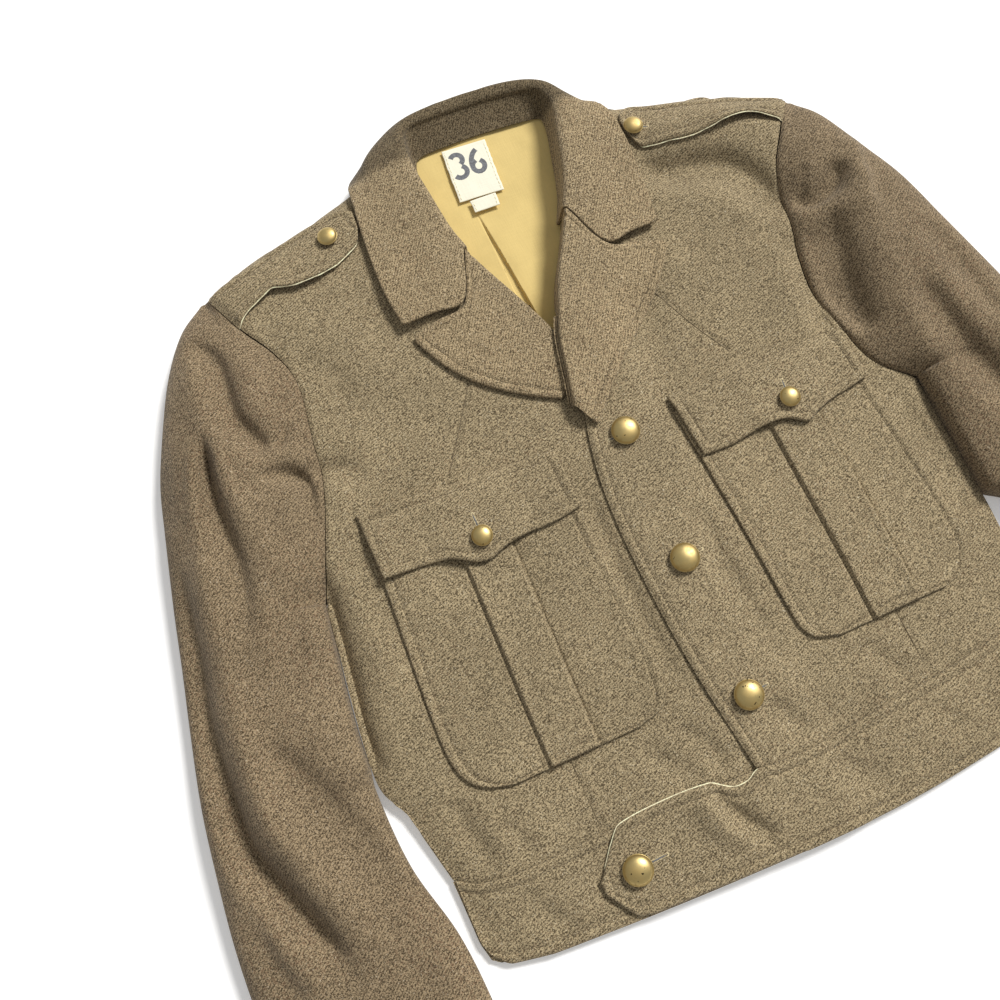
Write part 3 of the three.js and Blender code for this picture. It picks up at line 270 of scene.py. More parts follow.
SLEEVE_CREASES = {
    "right": [
        [
            (-282, 307, 9, 2.0), (-267, 297, 10, 3.6), (-260, 278, 11, 5.4), (-261, 256, 11, 6.4),
            (-262, 234, 11, 6.4), (-256, 216, 10, 5.6), (-248, 200, 9, 4.4), (-238, 190, 9, 2.4),
        ],
        [(-227, 214, 4, 1.6), (-233, 206, 4, 3.0), (-240, 194, 5, 2.0)],
        [
            (-289, 232, 4, 5.0), (-292, 213, 5, 8.0), (-297, 185, 7, 8.4), (-299, 151, 10, 7.4),
            (-301, 120, 13, 6.0), (-309, 90, 15, 4.2), (-322, 60, 16, 2.6),
        ],
        [
            (-343, 164, 8, 3.0), (-342, 136, 9, 5.6), (-346, 103, 10, 7.4), (-353, 61, 11, 8.4),
            (-359, 34, 11, 9.0), (-362, 0, 11, 9.6), (-363, -34, 11, 10.0), (-362, -62, 11, 10.0),
            (-352, -92, 12, 9.6), (-340, -124, 12, 8.6), (-330, -156, 12, 6.0),
            (-324, -184, 12, 3.0),
        ],
        [
            (-340, 8, 14, 1.6), (-316, -24, 17, 4.2), (-300, -60, 19, 5.4), (-286, -104, 19, 5.6),
            (-279, -146, 17, 3.4),
        ],
        [
            (-266, 178, 7, 2.0), (-251, 180, 8, 4.4), (-239, 176, 8, 5.4), (-232, 166, 8, 5.4),
            (-232, 148, 8, 4.0), (-237, 124, 8, 1.6),
        ],
        [(-322, 246, 12, 1.6), (-331, 206, 13, 2.6), (-338, 168, 12, 2.0)],
        [(-268, 112, 9, 1.0), (-277, 70, 11, 2.4), (-286, 36, 12, 1.4)],
        [(-376, -84, 8, 1.4), (-373, -130, 9, 2.6), (-362, -174, 9, 1.6)],
        [(-274, -178, 10, 1.6), (-292, -206, 11, 3.0), (-318, -224, 12, 2.0)],
        [(-372, -196, 9, 1.4), (-352, -208, 10, 2.6), (-338, -200, 9, 1.4)],
        [(-306, 158, 12, -1.0), (-312, 110, 14, -2.2), (-318, 60, 14, -1.2)],
        [(-330, 20, 12, -1.0), (-336, -40, 12, -2.4), (-328, -90, 12, -1.6)],
    ],
    "left": [
        [
            (258, 240, 9, 3.0), (247, 226, 10, 6.0), (236, 219, 10, 6.6), (222, 217, 9, 6.0),
            (208, 228, 8, 3.0),
        ],
        [
            (228, 214, 13, 3.0), (224, 180, 16, 6.6), (214, 140, 16, 7.0), (210, 96, 13, 4.0),
        ],
        [
            (262, 130, 10, 3.0), (268, 84, 13, 5.6), (280, 30, 14, 6.0), (298, -14, 14, 3.0),
        ],
        [
            (314, 34, 10, 3.0), (326, -14, 11, 6.0), (331, -60, 12, 7.6), (326, -110, 12, 6.6),
            (316, -156, 12, 3.0),
        ],
        [(260, -56, 12, 2.0), (274, -110, 14, 4.6), (302, -164, 13, 2.4)],
        [(300, -190, 12, 2.0), (310, -226, 14, 4.0), (302, -262, 12, 2.0)],
        [(282, 262, 9, -1.0), (266, 226, 9, -2.6), (254, 180, 9, -1.6)],
        [(292, 172, 11, 1.6), (302, 116, 12, 3.0), (302, 62, 12, 1.6)],
        [(340, -60, 8, 1.2), (345, -110, 9, 2.8), (334, -162, 9, 1.4)],
        [(250, -184, 9, 1.4), (272, -206, 10, 2.8), (298, -214, 10, 1.4)],
    ],
}
BACK_CREASES = [
    [(-150, 250, 14, 1.0), (-60, 225, 15, 1.6), (40, 246, 14, 1.0)],
    [(-170, 120, 16, 0.8), (-60, 96, 17, 1.4), (70, 118, 15, 1.0)],
    [(-190, -60, 14, 1.0), (-120, -90, 15, 1.6), (-40, -70, 14, 0.8)],
    [(40, -40, 14, 0.8), (110, -76, 15, 1.4), (180, -60, 14, 1.0)],
]

# Collar from the right tip round the neck to the left tip: neck seam, roll line, a place on
# the leaf and the leaf's outer edge
COLLAR = Table(
    "neck_x neck_y neck_z roll_x roll_y roll_z leaf_x leaf_y edge_x edge_y edge_z",
    (-46, 291, 6, -49, 291, 33, -67, 249.5, -118, 250, 30),
    (-50, 312, 6, -54, 313, 33, -77, 296, -121, 282, 31),
    (-52, 346, 6, -57, 347, 32, -84, 335, -119, 322, 31),
    (-55, 373, 5, -59, 376, 30, -86, 366, -115, 356, 28),
    (-53, 388, 4.6, -57, 398, 27, -86, 396, -108, 387, 14),
    (-46, 394.5, 4.4, -51, 413, 23, -70, 413, -82, 401, 4),
    (-30, 396, 4.4, -37, 418, 20, -43, 422, -42, 404, 3),
    (4, 395, 4.4, 4, 418, 18, 4, 422, 4, 402, 3),
    (38, 392.5, 4.4, 42, 414, 19, 45, 418, 44, 399, 3),
    (60, 389, 4.4, 64, 407, 21, 71, 408, 72, 395, 3),
    (64, 383, 5.6, 71, 392, 25, 84, 390, 96, 384, 8),
    (62, 368, 6, 69, 374, 29, 88, 370, 108, 361, 22),
    (56, 346, 6, 61, 350, 32, 84, 342, 109, 332, 31),
    (47, 316, 6, 51, 318, 33, 70, 306, 106, 296, 31),
    (35, 291, 6, 38, 291, 33, 55, 250.5, 100, 251, 30),
)
LAPELS = {
    "right": Table(
        "roll_x roll_y leaf_x leaf_y edge_x edge_y",
        (-48.6, 290.6, -67, 248.9, -116, 240),
        (-38, 264, -66, 232, -105, 215),
        (-27, 238, -56, 212, -91, 193),
        (-17, 213, -43, 190, -70, 173),
        (-9, 190, -30, 172, -50, 159),
        (-2, 174, -17, 160, -31, 148),
    ),
    "left": Table(
        "roll_x roll_y leaf_x leaf_y edge_x edge_y",
        (37.6, 290.6, 55.4, 249.8, 102, 234),
        (23, 265, 50, 234, 87, 214),
        (8, 240, 37, 213, 71, 196),
        (-3, 216, 20, 192, 47, 175),
        (-13, 193, 4, 173, 23, 155),
        (-20, 164, -9, 148, 2, 134),
        (-26, 138, -20, 127, -14, 118),
    ),
}
ROLL_RADIUS = 4.4
ROLL_SOFTNESS = 0.6
STEEPEST = 1.45
LEAF_GAP = 0.9
LEAF_TURN = 4
LEAF_FALL = 14
LAPEL_FOOT = 8
LAPEL_TIP = 7
COLLAR_TIP = 3.5
SEAM_ROUND = 0.45
NOTCH_SHARES = (0.66, 0.74)
# A folded section has eight points, with this many spans between them
SPANS = 7
LAPEL_ROLL_RISE = 1.4
CROSSING_FOOT = {"from": 226, "to": 206, "below": 4.4}
# Soft dents of the lapels and the collar: place, radius and depth
LAPEL_DENTS = {
    "right": [(-88, 218, 13, 0.9), (-60, 236, 10, -0.6)],
    "left": [(88, 226, 12, 0.7), (40, 262, 12, 0.9)],
}
COLLAR_DENTS = [(-92, 300, 18, 0.5), (88, 300, 14, 0.8), (-96, 262, 12, -0.4), (70, 280, 12, 0.8)]
# Uneven pleating of the stand at the back of the neck: place, width and depth
STAND_PLEATS = (
    (-42, 3.2, 1.3), (-33, 2.6, 1.0), (-24, 3.0, 0.7), (10, 4.0, 0.6),
    (28, 3.4, 0.9), (40, 3.0, 1.3), (50, 3.6, 1.5), (-8, 5, 0.4),
)

POCKETS = {
    "right": Table(
        "y near far",
        (104, -54, -207), (60, -54, -209), (0, -52, -213), (-45, -51, -215),
        (-66, -52, -214), (-80, -54, -209), (-90, -62, -198), (-96, -82, -178),
    ),
    "left": Table(
        "y near far",
        (104, 42, 190), (60, 46, 192), (0, 50, 197), (-45, 52, 200),
        (-66, 53, 200), (-80, 55, 196), (-90, 62, 186), (-96, 80, 168),
    ),
}
PLEATS = {
    "right": {"top": -129, "foot": -132, "width": 37},
    "left": {"top": 124, "foot": 127, "width": 38},
}
PLEAT_RISE = 2.4
FLAPS = {
    "right": Table(
        "x top foot",
        (-208, 128, 74), (-180, 126, 72), (-158, 124, 68), (-142, 122, 58.5), (-131, 121, 56),
        (-118, 120, 60), (-100, 118, 63), (-76, 116, 63), (-53, 114, 66),
    ),
    "left": Table(
        "x top foot",
        (43, 117, 64), (66, 118, 63), (92, 119.5, 66), (112, 121, 64), (126, 122, 56),
        (137, 122.5, 60), (152, 123, 65), (172, 123.5, 68), (187, 124, 71),
    ),
}
FLAP_LEAN = {"right": 1, "left": 5}
FLAP_RISE_FROM = 120
FLAP_RISE_TO = 106
FLAP_SIDE_LIFT = 1.8

STRAPS = {
    "right": Table(
        "x low high",
        (-117, 345, 358), (-123, 331, 364), (-132, 325.5, 366), (-147, 319, 364),
        (-163, 316.3, 361), (-180, 316.3, 357), (-190, 318.6, 355), (-199, 321.5, 352),
        (-210, 317, 349.5), (-222, 310.6, 346), (-234, 302, 341),
    ),
    "left": Table(
        "x low high",
        (112, 334, 346), (117, 318.5, 354), (126, 314.3, 358), (138, 312.5, 353.5),
        (152, 310.6, 349), (166, 309.4, 345), (180, 309.8, 340.5), (194, 310.4, 336.5),
        (207, 309.4, 332), (219, 302, 327), (231, 294, 321),
    ),
}
STRAP_SEWN_IN = 7
# How far a strap stays from the shoulder seam, towards the neck and at the sleeve
STRAP_CLEAR = (3, 8)
# Where the free lower edge of a strap stands up: the place, how wide and how far
STRAP_LIFTS = {"right": (-180, 30, 3.0), "left": (200, 26, 4.6)}

TAB = Table(
    "x high low",
    (-152, -180, -188), (-145, -172, -199), (-137, -162, -210), (-125, -150, -213),
    (-88, -148, -215), (-54, -150.5, -217), (-40, -159.5, -217.5), (-28, -160, -218),
    (-20, -156, -218.6), (-12, -155.2, -219),
)
BAND_WIDTH = 62
BAND_PROUD = 0.8
BAND_CORNER = 18
BAND_CREASES = [
    [(-55, -154, 6, 2.0), (-44, -178, 7, 3.2), (-24, -205, 7, 2.0)],
    [(-66, -154, 8, -1.0), (-58, -174, 9, -1.8), (-44, -198, 8, -1.0)],
    [(30, -168, 9, 0.6), (46, -184, 9, 1.2), (70, -200, 9, 0.8)],
    [(110, -160, 9, 0.7), (124, -176, 9, 1.1), (140, -200, 9, 0.7)],
    [(-204, -158, 9, 0.8), (-194, -180, 9, 1.4), (-176, -206, 9, 0.8)],
]

LINING = Table(
    "y near far",
    (397, -58, 60), (388, -60, 66), (370, -66, 70), (330, -74, 76), (260, -74, 70),
    (200, -50, 36), (150, -36, 18),
)
# The pleat of the lining, downwards: its edge, how wide it gapes and how high it stands
LINING_PLEAT = Table(
    "y x gape rise",
    (333, -22, 0.4, 0), (306, -20, 1.4, 1.4), (280, -18, 3.2, 2.0), (249, -16, 5.4, 2.4),
    (218, -14, 6.5, 2.6),
)
LINING_PLEAT_WIDTH = 30
LINING_PLEAT_DEPTH = 1.0
LABEL_REST = 1.8
SIZE_LABEL = {"x": -10, "y": 365.5, "width": 38, "height": 49.5, "turn": -0.09}
SMALL_LABEL = {"x": -12.5, "y": 333.5, "width": 22, "height": 11.5, "turn": -0.05}

# Seams that are drawn on a panel: darts and the seams above and below the pockets
DARTS = {
    "right": [[(-88, 192), (-112, 157), (-134, 126)], [(-136, -94), (-136, -152)]],
    "left": [[(71, 206), (87, 167), (107, 129)], [(126, -92), (127, -150)]],
}
DART_DEPTH = 1.1
# Radius of the sunk dark thread along each dart, whose dark line also paints the shade of the seam's
# groove
DART_THREAD_AND_SHADE = 0.38

# Buttons, their shanks, the threads of the buttonholes and the other sewing threads
BIG_BUTTON = {"radius": 11, "dome": 6.4}
SMALL_BUTTON = {"radius": 8, "dome": 5}
BUTTON_SIDES = 56
SHANK_RADIUS = 3
SHANK_HEIGHT = 1.6
HOLE_STEP = 0.85
HOLE_THREAD = 0.3
# Radius of the dark spindle painted as the shade in a buttonhole's slit
HOLE_SLIT_SHADE = 0.4
STITCH_THREAD = 0.3
STITCH_RISE = 0.12
RAW_EDGE = 0.5
# Each button: its front, its place, its size and what it is sewn on
BUTTONS = {
    "button_front_1": ("left", 2, 105, BIG_BUTTON, "front"),
    "button_front_2": ("left", 0, 0, BIG_BUTTON, "front"),
    "button_front_3": ("left", -2, -107, BIG_BUTTON, "front"),
    "button_tab": ("left", -125, -182, BIG_BUTTON, "tab"),
    "button_pocket_right": ("right", -129, 74, SMALL_BUTTON, "flap"),
    "button_pocket_left": ("left", 126, 78, SMALL_BUTTON, "flap"),
    "button_strap_right": ("right", -143, 343, SMALL_BUTTON, "strap"),
    "button_strap_left": ("left", 119, 335, SMALL_BUTTON, "strap"),
}
# Buttonholes: the button they belong to, the way they run from it and how much shows
BUTTONHOLES = {
    "button_front_1": (186, 14), "button_front_2": (4, 15), "button_front_3": (4, 16),
    "button_tab": (2, 23), "button_pocket_right": (90, 18), "button_pocket_left": (84, 15),
    "button_strap_right": (206, 12), "button_strap_left": (-20, 12),
}

# The camera: where it looks, how far away it stands, and its lens
CAMERA_AIM = (-105, 96, 20)
CAMERA_DISTANCE = 820
CAMERA_ELEVATION = 75
CAMERA_AZIMUTH = -24
CAMERA_LENS = 39.6
SENSOR_WIDTH = 36

# The twill of the wool: the width of a ridge, and what makes one wave of the finish that wide
TWILL = 1.95
WAVE_SCALE = math.pi / 10
# How dark the painted shade at the back of the neck makes the collar
NECK_SHADE = 0.46
BRASS_DULL = (0.42, 0.29, 0.11, 1)
BRASS_PIT = (0.05, 0.035, 0.02, 1)

# The light: its direction as a turn from X and a rise from the floor, and how soft it is
SUN_TURN = 28
SUN_RISE = 45
SUN_SPREAD = 16
SUN_STRENGTH = 3.5
SUN_COLOUR = (1.0, 0.985, 0.96)
ROOM_LIGHT = 0.38

# The floor: half its width in metres, how far it lies below the jacket, and its own glow
FLOOR_HALF = 4.0
FLOOR_BELOW = 0.0002
FLOOR_GLOW = 0.22

# Rough lengths of the pieces, which with the cut step give how many points each one has. A
# size is across first and then down, and a sleeve's lengths are at the armhole and below it
SIDE_LENGTH = 215
ARMHOLE_LENGTH = 290
FRONT_WIDTH = 250
BACK_WIDTH = 480
SLEEVE_LENGTHS = (300, 360)
LAPEL_LENGTH = 185
COLLAR_LENGTH = 420
POCKET_SIZE = (152, 200)
FLAP_SIZE = (155, 56)
STRAP_SIZE = (118, 42)
BAND_LENGTHS = {"right": 260, "left": 380, "back": 470}
LINING_SIZE = (150, 250)

# How far in from its edge a piece has its points close together
CLOSE_PLACES = (0, 0.25, 0.8, 1.6, 3, 4.6, 6.2, 7.2, 8.2)
LABEL_PLACES = (0, 0.2, 0.6)
LABEL_STEP = 1.4
ALL_SIDES = ("first_row", "last_row", "first_column", "last_column")


def middle_of(node):
    low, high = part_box(node)
    return (np.array(low) + np.array(high)) / 2 / MM


# From the jacket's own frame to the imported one
FRAME_SHIFT = middle_of("small_label") - np.array([SMALL_LABEL["x"], SMALL_LABEL["y"], 0])
FRAME_SHIFT[2] = 0


class JacketSizes(bpy.types.PropertyGroup):
    """Cloth and sewing sizes."""

    wool: FloatProperty(
        name="Wool", description="Thickness of one layer of wool", default=2.2 * MM,
        unit="LENGTH", subtype="DISTANCE",
    )
    doubled_wool: FloatProperty(
        name="Doubled wool", description="Thickness of two pressed layers of wool",
        default=2.8 * MM, unit="LENGTH", subtype="DISTANCE",
    )
    cotton: FloatProperty(
        name="Cotton", description="Thickness of the cotton lining", default=1.2 * MM,
        unit="LENGTH", subtype="DISTANCE",
    )
    label_cloth: FloatProperty(
        name="Label cloth", description="Thickness of a label", default=1.0 * MM,
        unit="LENGTH", subtype="DISTANCE",
    )
    cut: FloatProperty(
        name="Cut step", description="Distance between the points of a cloth piece",
        default=2.6 * MM, unit="LENGTH", subtype="DISTANCE",
    )
    stitch_inset: FloatProperty(
        name="Stitch inset", description="From an edge in to its topstitching",
        default=7.2 * MM, unit="LENGTH", subtype="DISTANCE",
    )
    stitch: FloatProperty(
        name="Stitch", description="Length of one topstitch", default=2.9 * MM,
        unit="LENGTH", subtype="DISTANCE",
    )
    stitch_space: FloatProperty(
        name="Stitch space", description="Space between two topstitches", default=0.9 * MM,
        unit="LENGTH", subtype="DISTANCE",
    )


class JacketColours(bpy.types.PropertyGroup):
    """Colours of the cloth, thread and metal."""

    wool_pale: FloatVectorProperty(
        name="Pale wool", description="Pale fibres of the heathered wool", subtype="COLOR",
        size=3, default=(0.47, 0.375, 0.225),
    )
    wool_fleck: FloatVectorProperty(
        name="Wool fleck", description="Single palest fibres of the wool", subtype="COLOR",
        size=3, default=(0.66, 0.58, 0.42),
    )
    hole_thread: FloatVectorProperty(
        name="Buttonhole thread", description="Thread round the buttonholes", subtype="COLOR",
        size=3, default=(0.52, 0.44, 0.27),
    )
    wool_dark: FloatVectorProperty(
        name="Dark wool", description="Dark fibres of the heathered wool", subtype="COLOR",
        size=3, default=(0.070, 0.052, 0.028),
    )
    wool_rust: FloatVectorProperty(
        name="Rust wool", description="Rust fibres of the heathered wool", subtype="COLOR",
        size=3, default=(0.22, 0.125, 0.07),
    )
    lining: FloatVectorProperty(
        name="Lining", description="Cotton lining of the neck", subtype="COLOR",
        size=3, default=(0.74, 0.565, 0.225),
    )
    label: FloatVectorProperty(
        name="Label", description="Cotton of the labels", subtype="COLOR",
        size=3, default=(0.93, 0.90, 0.74),
    )
    # The ink colour also paints the shade in the buttonhole slits
    ink: FloatVectorProperty(
        name="Ink", description="Stamped figures", subtype="COLOR",
        size=3, default=(0.115, 0.12, 0.13),
    )
    thread: FloatVectorProperty(
        name="Thread", description="Topstitching thread", subtype="COLOR",
        size=3, default=(0.115, 0.085, 0.045),
    )
    piping: FloatVectorProperty(
        name="Raw edge", description="Pale raw edge under straps and tab", subtype="COLOR",
        size=3, default=(0.72, 0.61, 0.40),
    )
    brass: FloatVectorProperty(
        name="Brass", description="Worn brass of the buttons", subtype="COLOR",
        size=3, default=(0.60, 0.465, 0.205),
    )


def size_of(name):
    """A cloth or sewing size in millimetres."""
    return getattr(bpy.context.scene.jacket_sizes, name) / MM


def colour_of(name):
    """A colour that lets nothing through."""
    return tuple(getattr(bpy.context.scene.jacket_colours, name)) + (1.0,)


def mix(a, b, share):
    return a + (b - a) * share


def ramp(value, start, end):
    """0 before the start and 1 past the end, with a smooth rise between them."""
    t = np.clip((value - start) / (end - start), 0, 1)
    return t * t * (3 - 2 * t)


def rolled(distance, radius):
    """A rounded edge: 0 at the edge, 1 from the radius inwards."""
    short = 1 - np.clip(distance / radius, 0, 1)
    return np.sqrt(1 - short * short)


def bump(distance, width):
    """1 at no distance, falling off softly within the width."""
    return np.exp(-((distance / width) ** 2))


def line_distance(points, x, y):
    """Distance to a line, the share of its length at the nearest place, and the side."""
    points = np.asarray(points, float)
    steps = np.diff(points, axis=0)
    lengths = np.hypot(*steps.T)
    starts = np.concatenate([[0], np.cumsum(lengths)])
    nearest = np.full(np.shape(x), np.inf)
    at = np.zeros(np.shape(x))
    side = np.zeros(np.shape(x))
    for k, (dx, dy) in enumerate(steps):
        from_x, from_y = x - points[k, 0], y - points[k, 1]
        t = np.clip((from_x * dx + from_y * dy) / lengths[k] ** 2, 0, 1)
        away = np.hypot(from_x - t * dx, from_y - t * dy)
        closer = away < nearest
        nearest = np.where(closer, away, nearest)
        at = np.where(closer, (starts[k] + t * lengths[k]) / starts[-1], at)
        side = np.where(closer, np.sign(dx * from_y - dy * from_x), side)
    return nearest, at, side


def crease_relief(creases, x, y):
    """How far creases lower the cloth. Each has softer shoulders beside it."""
    x, y = np.broadcast_arrays(np.asarray(x, float), np.asarray(y, float))
    fall = np.zeros(x.shape)
    for rows in creases:
        path = Table(CREASE, *rows).at(np.linspace(0, 1, 7 * len(rows)))
        line = np.stack([path["x"], path["y"]], axis=1)
        reach = 4 * path["width"].max()
        low, high = line.min(axis=0) - reach, line.max(axis=0) + reach
        near = (x > low[0]) & (x < high[0]) & (y > low[1]) & (y < high[1])
        away, at, side = line_distance(line, x[near], y[near])
        length = np.concatenate([[0], np.cumsum(np.hypot(*np.diff(line, axis=0).T))])
        width, depth = (np.interp(at, length / length[-1], path[n]) for n in ("width", "depth"))
        ends = ramp(at, 0, CREASE_END) * ramp(at, 1, 1 - CREASE_END)
        trough = bump(away, width * (1 - CREASE_LEAN * side))
        shoulders = CREASE_SHOULDER * bump(away - 1.9 * width, 0.9 * width)
        fall[near] += CREASE_STRENGTH * ends * depth * (trough - shoulders)
    return fall


def lumps(x, y, size, seed):
    """Soft uneven swells of the cloth, from -1 to 1, a given size apart."""
    lattice = np.random.RandomState(seed).uniform(-1, 1, (97, 97))
    px, py = x / size + 48, y / size + 48
    i, j = np.floor(px).astype(int) % 96, np.floor(py).astype(int) % 96
    u, v = ramp(px % 1, 0, 1), ramp(py % 1, 0, 1)
    low = mix(lattice[i, j], lattice[i + 1, j], u)
    high = mix(lattice[i, j + 1], lattice[i + 1, j + 1], u)
    return mix(low, high, v)


def chain(*tables):
    """Joins tables end to end, with a corner only where two of them meet."""
    parts = [len(table.rows) - 1 for table in tables]
    total = sum(parts)

    def at(share):
        place = np.clip(np.asarray(share, float), 0, 1) * total
        out = {name: np.zeros(np.shape(place)) for name in ("x", "y")}
        begin = 0
        for table, count in zip(tables, parts):
            inside = place >= begin if begin else place >= -1
            read = table.at((place - begin) / count)
            for name in out:
                out[name] = np.where(inside, read[name], out[name])
            begin += count
        return out

    return at


def reversed_table(table):
    turned = Table(" ".join(table.names))
    turned.rows = table.rows[::-1]
    return turned


def hem_side(hand):
    """The side of a body half, from the hem up to the armpit."""
    x, _, hem = WAIST.rows[0 if hand == "right" else -1]
    inward = 3 * BAND_SIDE_INSET * (1 if hand == "right" else -1)
    side = SIDES[hand].at(np.linspace(0, 1, SIDE_LINE_STEPS + 1))
    return np.concatenate([[(x + inward, hem)], np.stack([side["x"], side["y"]], axis=1)])


EDGE_LINES = {hand: (hem_side(hand), SHOULDERS[hand].points()) for hand in HANDS}


def seam_height(y):
    """Height of the seams at the edge of the body, where top and back meet."""
    return SEAM_SHARE * BODY_HEIGHTS.read("y", y, "z")


def body_roll(side_line, shoulder_line, x, y, side_roll, shoulder_roll):
    """0 at the edges of the body and 1 where it lies flat."""
    side = rolled(line_distance(side_line, x, y)[0], side_roll) ** SIDE_STEEPNESS
    return side * rolled(line_distance(shoulder_line, x, y)[0], shoulder_roll)


def body_top(hand, x, y):
    """Outer face of the cloth on top, without creases."""
    full = BODY_HEIGHTS.read("y", y, "z") - CROSS_FALL * (x - BODY_MIDDLE) ** 2
    share = body_roll(*EDGE_LINES[hand], x, y, SIDE_ROLL, SHOULDER_ROLL)
    return mix(seam_height(y) + SEAM_GAP / 2, full, share)


def crossing_lift(x, y):
    """How far the left front is raised where it lies over the right one and its lapel."""
    over = LAPEL_CROSSING
    up = ramp(y, over["from"] - over["fade_down"], over["from"])
    up = up * ramp(y, over["to"] + over["fade_up"], over["to"])
    lapel = up * ramp(x, over["x"] + over["fade_out"], over["x"])
    return OVERLAP_LIFT * ramp(x, OVERLAP_END + OVERLAP_FADE, OVERLAP_END) + over["lift"] * lapel


def front_top(hand, x, y):
    """Outer face of a front with its creases, on which pockets, flaps and lapels lie."""
    top = body_top(hand, x, y) - crease_relief(FRONT_CREASES[hand], x, y)
    top = top + 0.35 * lumps(x, y, 46, 3) + 0.12 * lumps(x, y, 17, 5)
    return top + (crossing_lift(x, y) if hand == "left" else 0)


def back_foot(x, y):
    """Outer face of the back, which lies on the floor and turns up to its seams."""
    foot = np.zeros(np.shape(x))
    for hand in HANDS:
        side, shoulder = EDGE_LINES[hand]
        roll = body_roll(side, shoulder[1:], x, y, BACK_ROLL, BACK_ROLL)
        here = (x < BODY_MIDDLE) == (hand == "right")
        foot = np.where(here, (seam_height(y) - SEAM_GAP / 2) * (1 - roll), foot)
    return foot


def normals_of(grid, up_share=0.6):
    """Unit normals of a grid of points, facing up where the piece is looked at."""
    down = np.gradient(grid, axis=0)
    across = np.gradient(grid, axis=1)
    normals = np.cross(down, across)
    normals /= np.maximum(np.linalg.norm(normals, axis=2, keepdims=True), 1e-9)
    probe = normals[grid.shape[0] // 2, int(grid.shape[1] * up_share)]
    return normals if probe[2] > 0 else -normals


def lengths_across(grid):
    steps = np.linalg.norm(np.diff(grid, axis=1), axis=2)
    return np.concatenate([np.zeros((len(grid), 1)), np.cumsum(steps, axis=1)], axis=1)


def side_distances(grid):
    """Distance of each point to the first and last row and column, along the cloth."""
    across = lengths_across(grid)
    down = lengths_across(grid.transpose(1, 0, 2)).T
    return {
        "first_row": down,
        "last_row": down[-1:] - down,
        "first_column": across,
        "last_column": across[:, -1:] - across,
    }


def round_corner(grid, row_side, column_side, radius):
    """Rounds the corner of a piece where two of its sides meet."""
    distances = side_distances(grid)
    p = np.clip(1 - distances[row_side] / radius, 0, 1)
    q = np.clip(1 - distances[column_side] / radius, 0, 1)
    moves = (p - p * np.sqrt(1 - q * q / 2), q - q * np.sqrt(1 - p * p / 2))
    moved = grid.copy()
    for axis, (side, move) in enumerate(zip((row_side, column_side), moves)):
        way = np.gradient(grid, axis=axis) * (1 if side.startswith("first") else -1)
        way /= np.maximum(np.linalg.norm(way, axis=2, keepdims=True), 1e-9)
        moved += radius * move[..., None] * way
    return moved


def edge_distance(distances, sides):
    """Distance to the nearest of some sides of a piece."""
    if not sides:
        return np.full(next(iter(distances.values())).shape, 1e3)
    return np.minimum.reduce([distances[side] for side in sides])


def even_shares(length, step):
    return np.linspace(0, 1, max(3, int(length / step) + 1))


def close_shares(length, step, near=CLOSE_PLACES, ends=(True, True)):
    """Shares of a length that stand close together near its ends, in millimetres."""
    start = list(near) if ends[0] else [0]
    finish = [length - value for value in near][::-1] if ends[1] else [length]
    count = max(2, int((finish[0] - start[-1]) / step))
    middle = np.linspace(start[-1], finish[0], count + 1)[1:-1]
    return np.concatenate([start, middle, finish]) / length


def hem_profile(distance, inset):
    """Relief of a turned and topstitched edge: full outside the stitching, dented at it."""
    full = 0.55 * bump(distance - 0.5 * inset, 0.36 * inset)
    past = 0.2 * bump(distance - 1.6 * inset, 0.5 * inset)
    return full + past - 0.9 * bump(distance - inset, 1.1)


def seam_dent(points, x, y):
    away, at, side = line_distance(points, x, y)
    ends = ramp(at, 0, 0.04) * ramp(at, 1, 0.96)
    ridge = 0.35 * bump(away - 4, 2.2) * (1 + 0.5 * side)
    return ends * (ridge - DART_DEPTH * bump(away, 1.7))


class Cloth:
    """A cloth piece as made: its object, and the points of its outer face with their normals
    and their distances to its sides."""

    def __init__(self, thing, outer, normals, distances):
        self.thing = thing
        self.outer = outer
        self.normals = normals
        self.distances = distances


def to_frame(points):
    return (np.asarray(points) + FRAME_SHIFT) * MM


def new_object(name, vertices, faces, finish):
    """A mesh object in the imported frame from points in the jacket's own one."""
    mesh = bpy.data.meshes.new(name)
    mesh.from_pydata(to_frame(vertices).tolist(), [], [list(face) for face in faces])
    mesh.materials.append(finish)
    thing = bpy.data.objects.new(name, mesh)
    bpy.context.collection.objects.link(thing)
    return thing


def clean(thing, sharp=55):
    """Welds what meets, turns the faces out and keeps only real corners sharp."""
    work = bmesh.new()
    work.from_mesh(thing.data)
    bmesh.ops.remove_doubles(work, verts=work.verts, dist=0.004 * MM)
    bmesh.ops.dissolve_degenerate(work, edges=work.edges, dist=0.002 * MM)
    bmesh.ops.recalc_face_normals(work, faces=work.faces)
    work.to_mesh(thing.data)
    work.free()
    thing.data.shade_smooth()
    thing.data.set_sharp_from_angle(angle=math.radians(sharp))


def slab_faces(rows, columns):
    """Faces of a slab: its top, its underside and the rim between them."""
    ids = np.arange(rows * columns).reshape(rows, columns)
    a, b, c, d = ids[:-1, :-1], ids[:-1, 1:], ids[1:, 1:], ids[1:, :-1]
    top = np.stack([a, b, c, d], axis=-1).reshape(-1, 4)
    low = rows * columns
    rim = np.concatenate([ids[0, :-1], ids[:-1, -1], ids[-1, :0:-1], ids[:0:-1, 0]])
    following = np.roll(rim, -1)
    side = np.stack([rim, rim + low, following + low, following], axis=-1)
    return np.concatenate([top, top[:, ::-1] + low, side])


def cloth_slab(name, upper, lower, finish):
    """A closed cloth piece between the points of its upper and lower faces."""
    rows, columns = upper.shape[:2]
    vertices = np.concatenate([upper.reshape(-1, 3), lower.reshape(-1, 3)])
    thing = new_object(name, vertices, slab_faces(rows, columns), finish)
    clean(thing)
    return thing


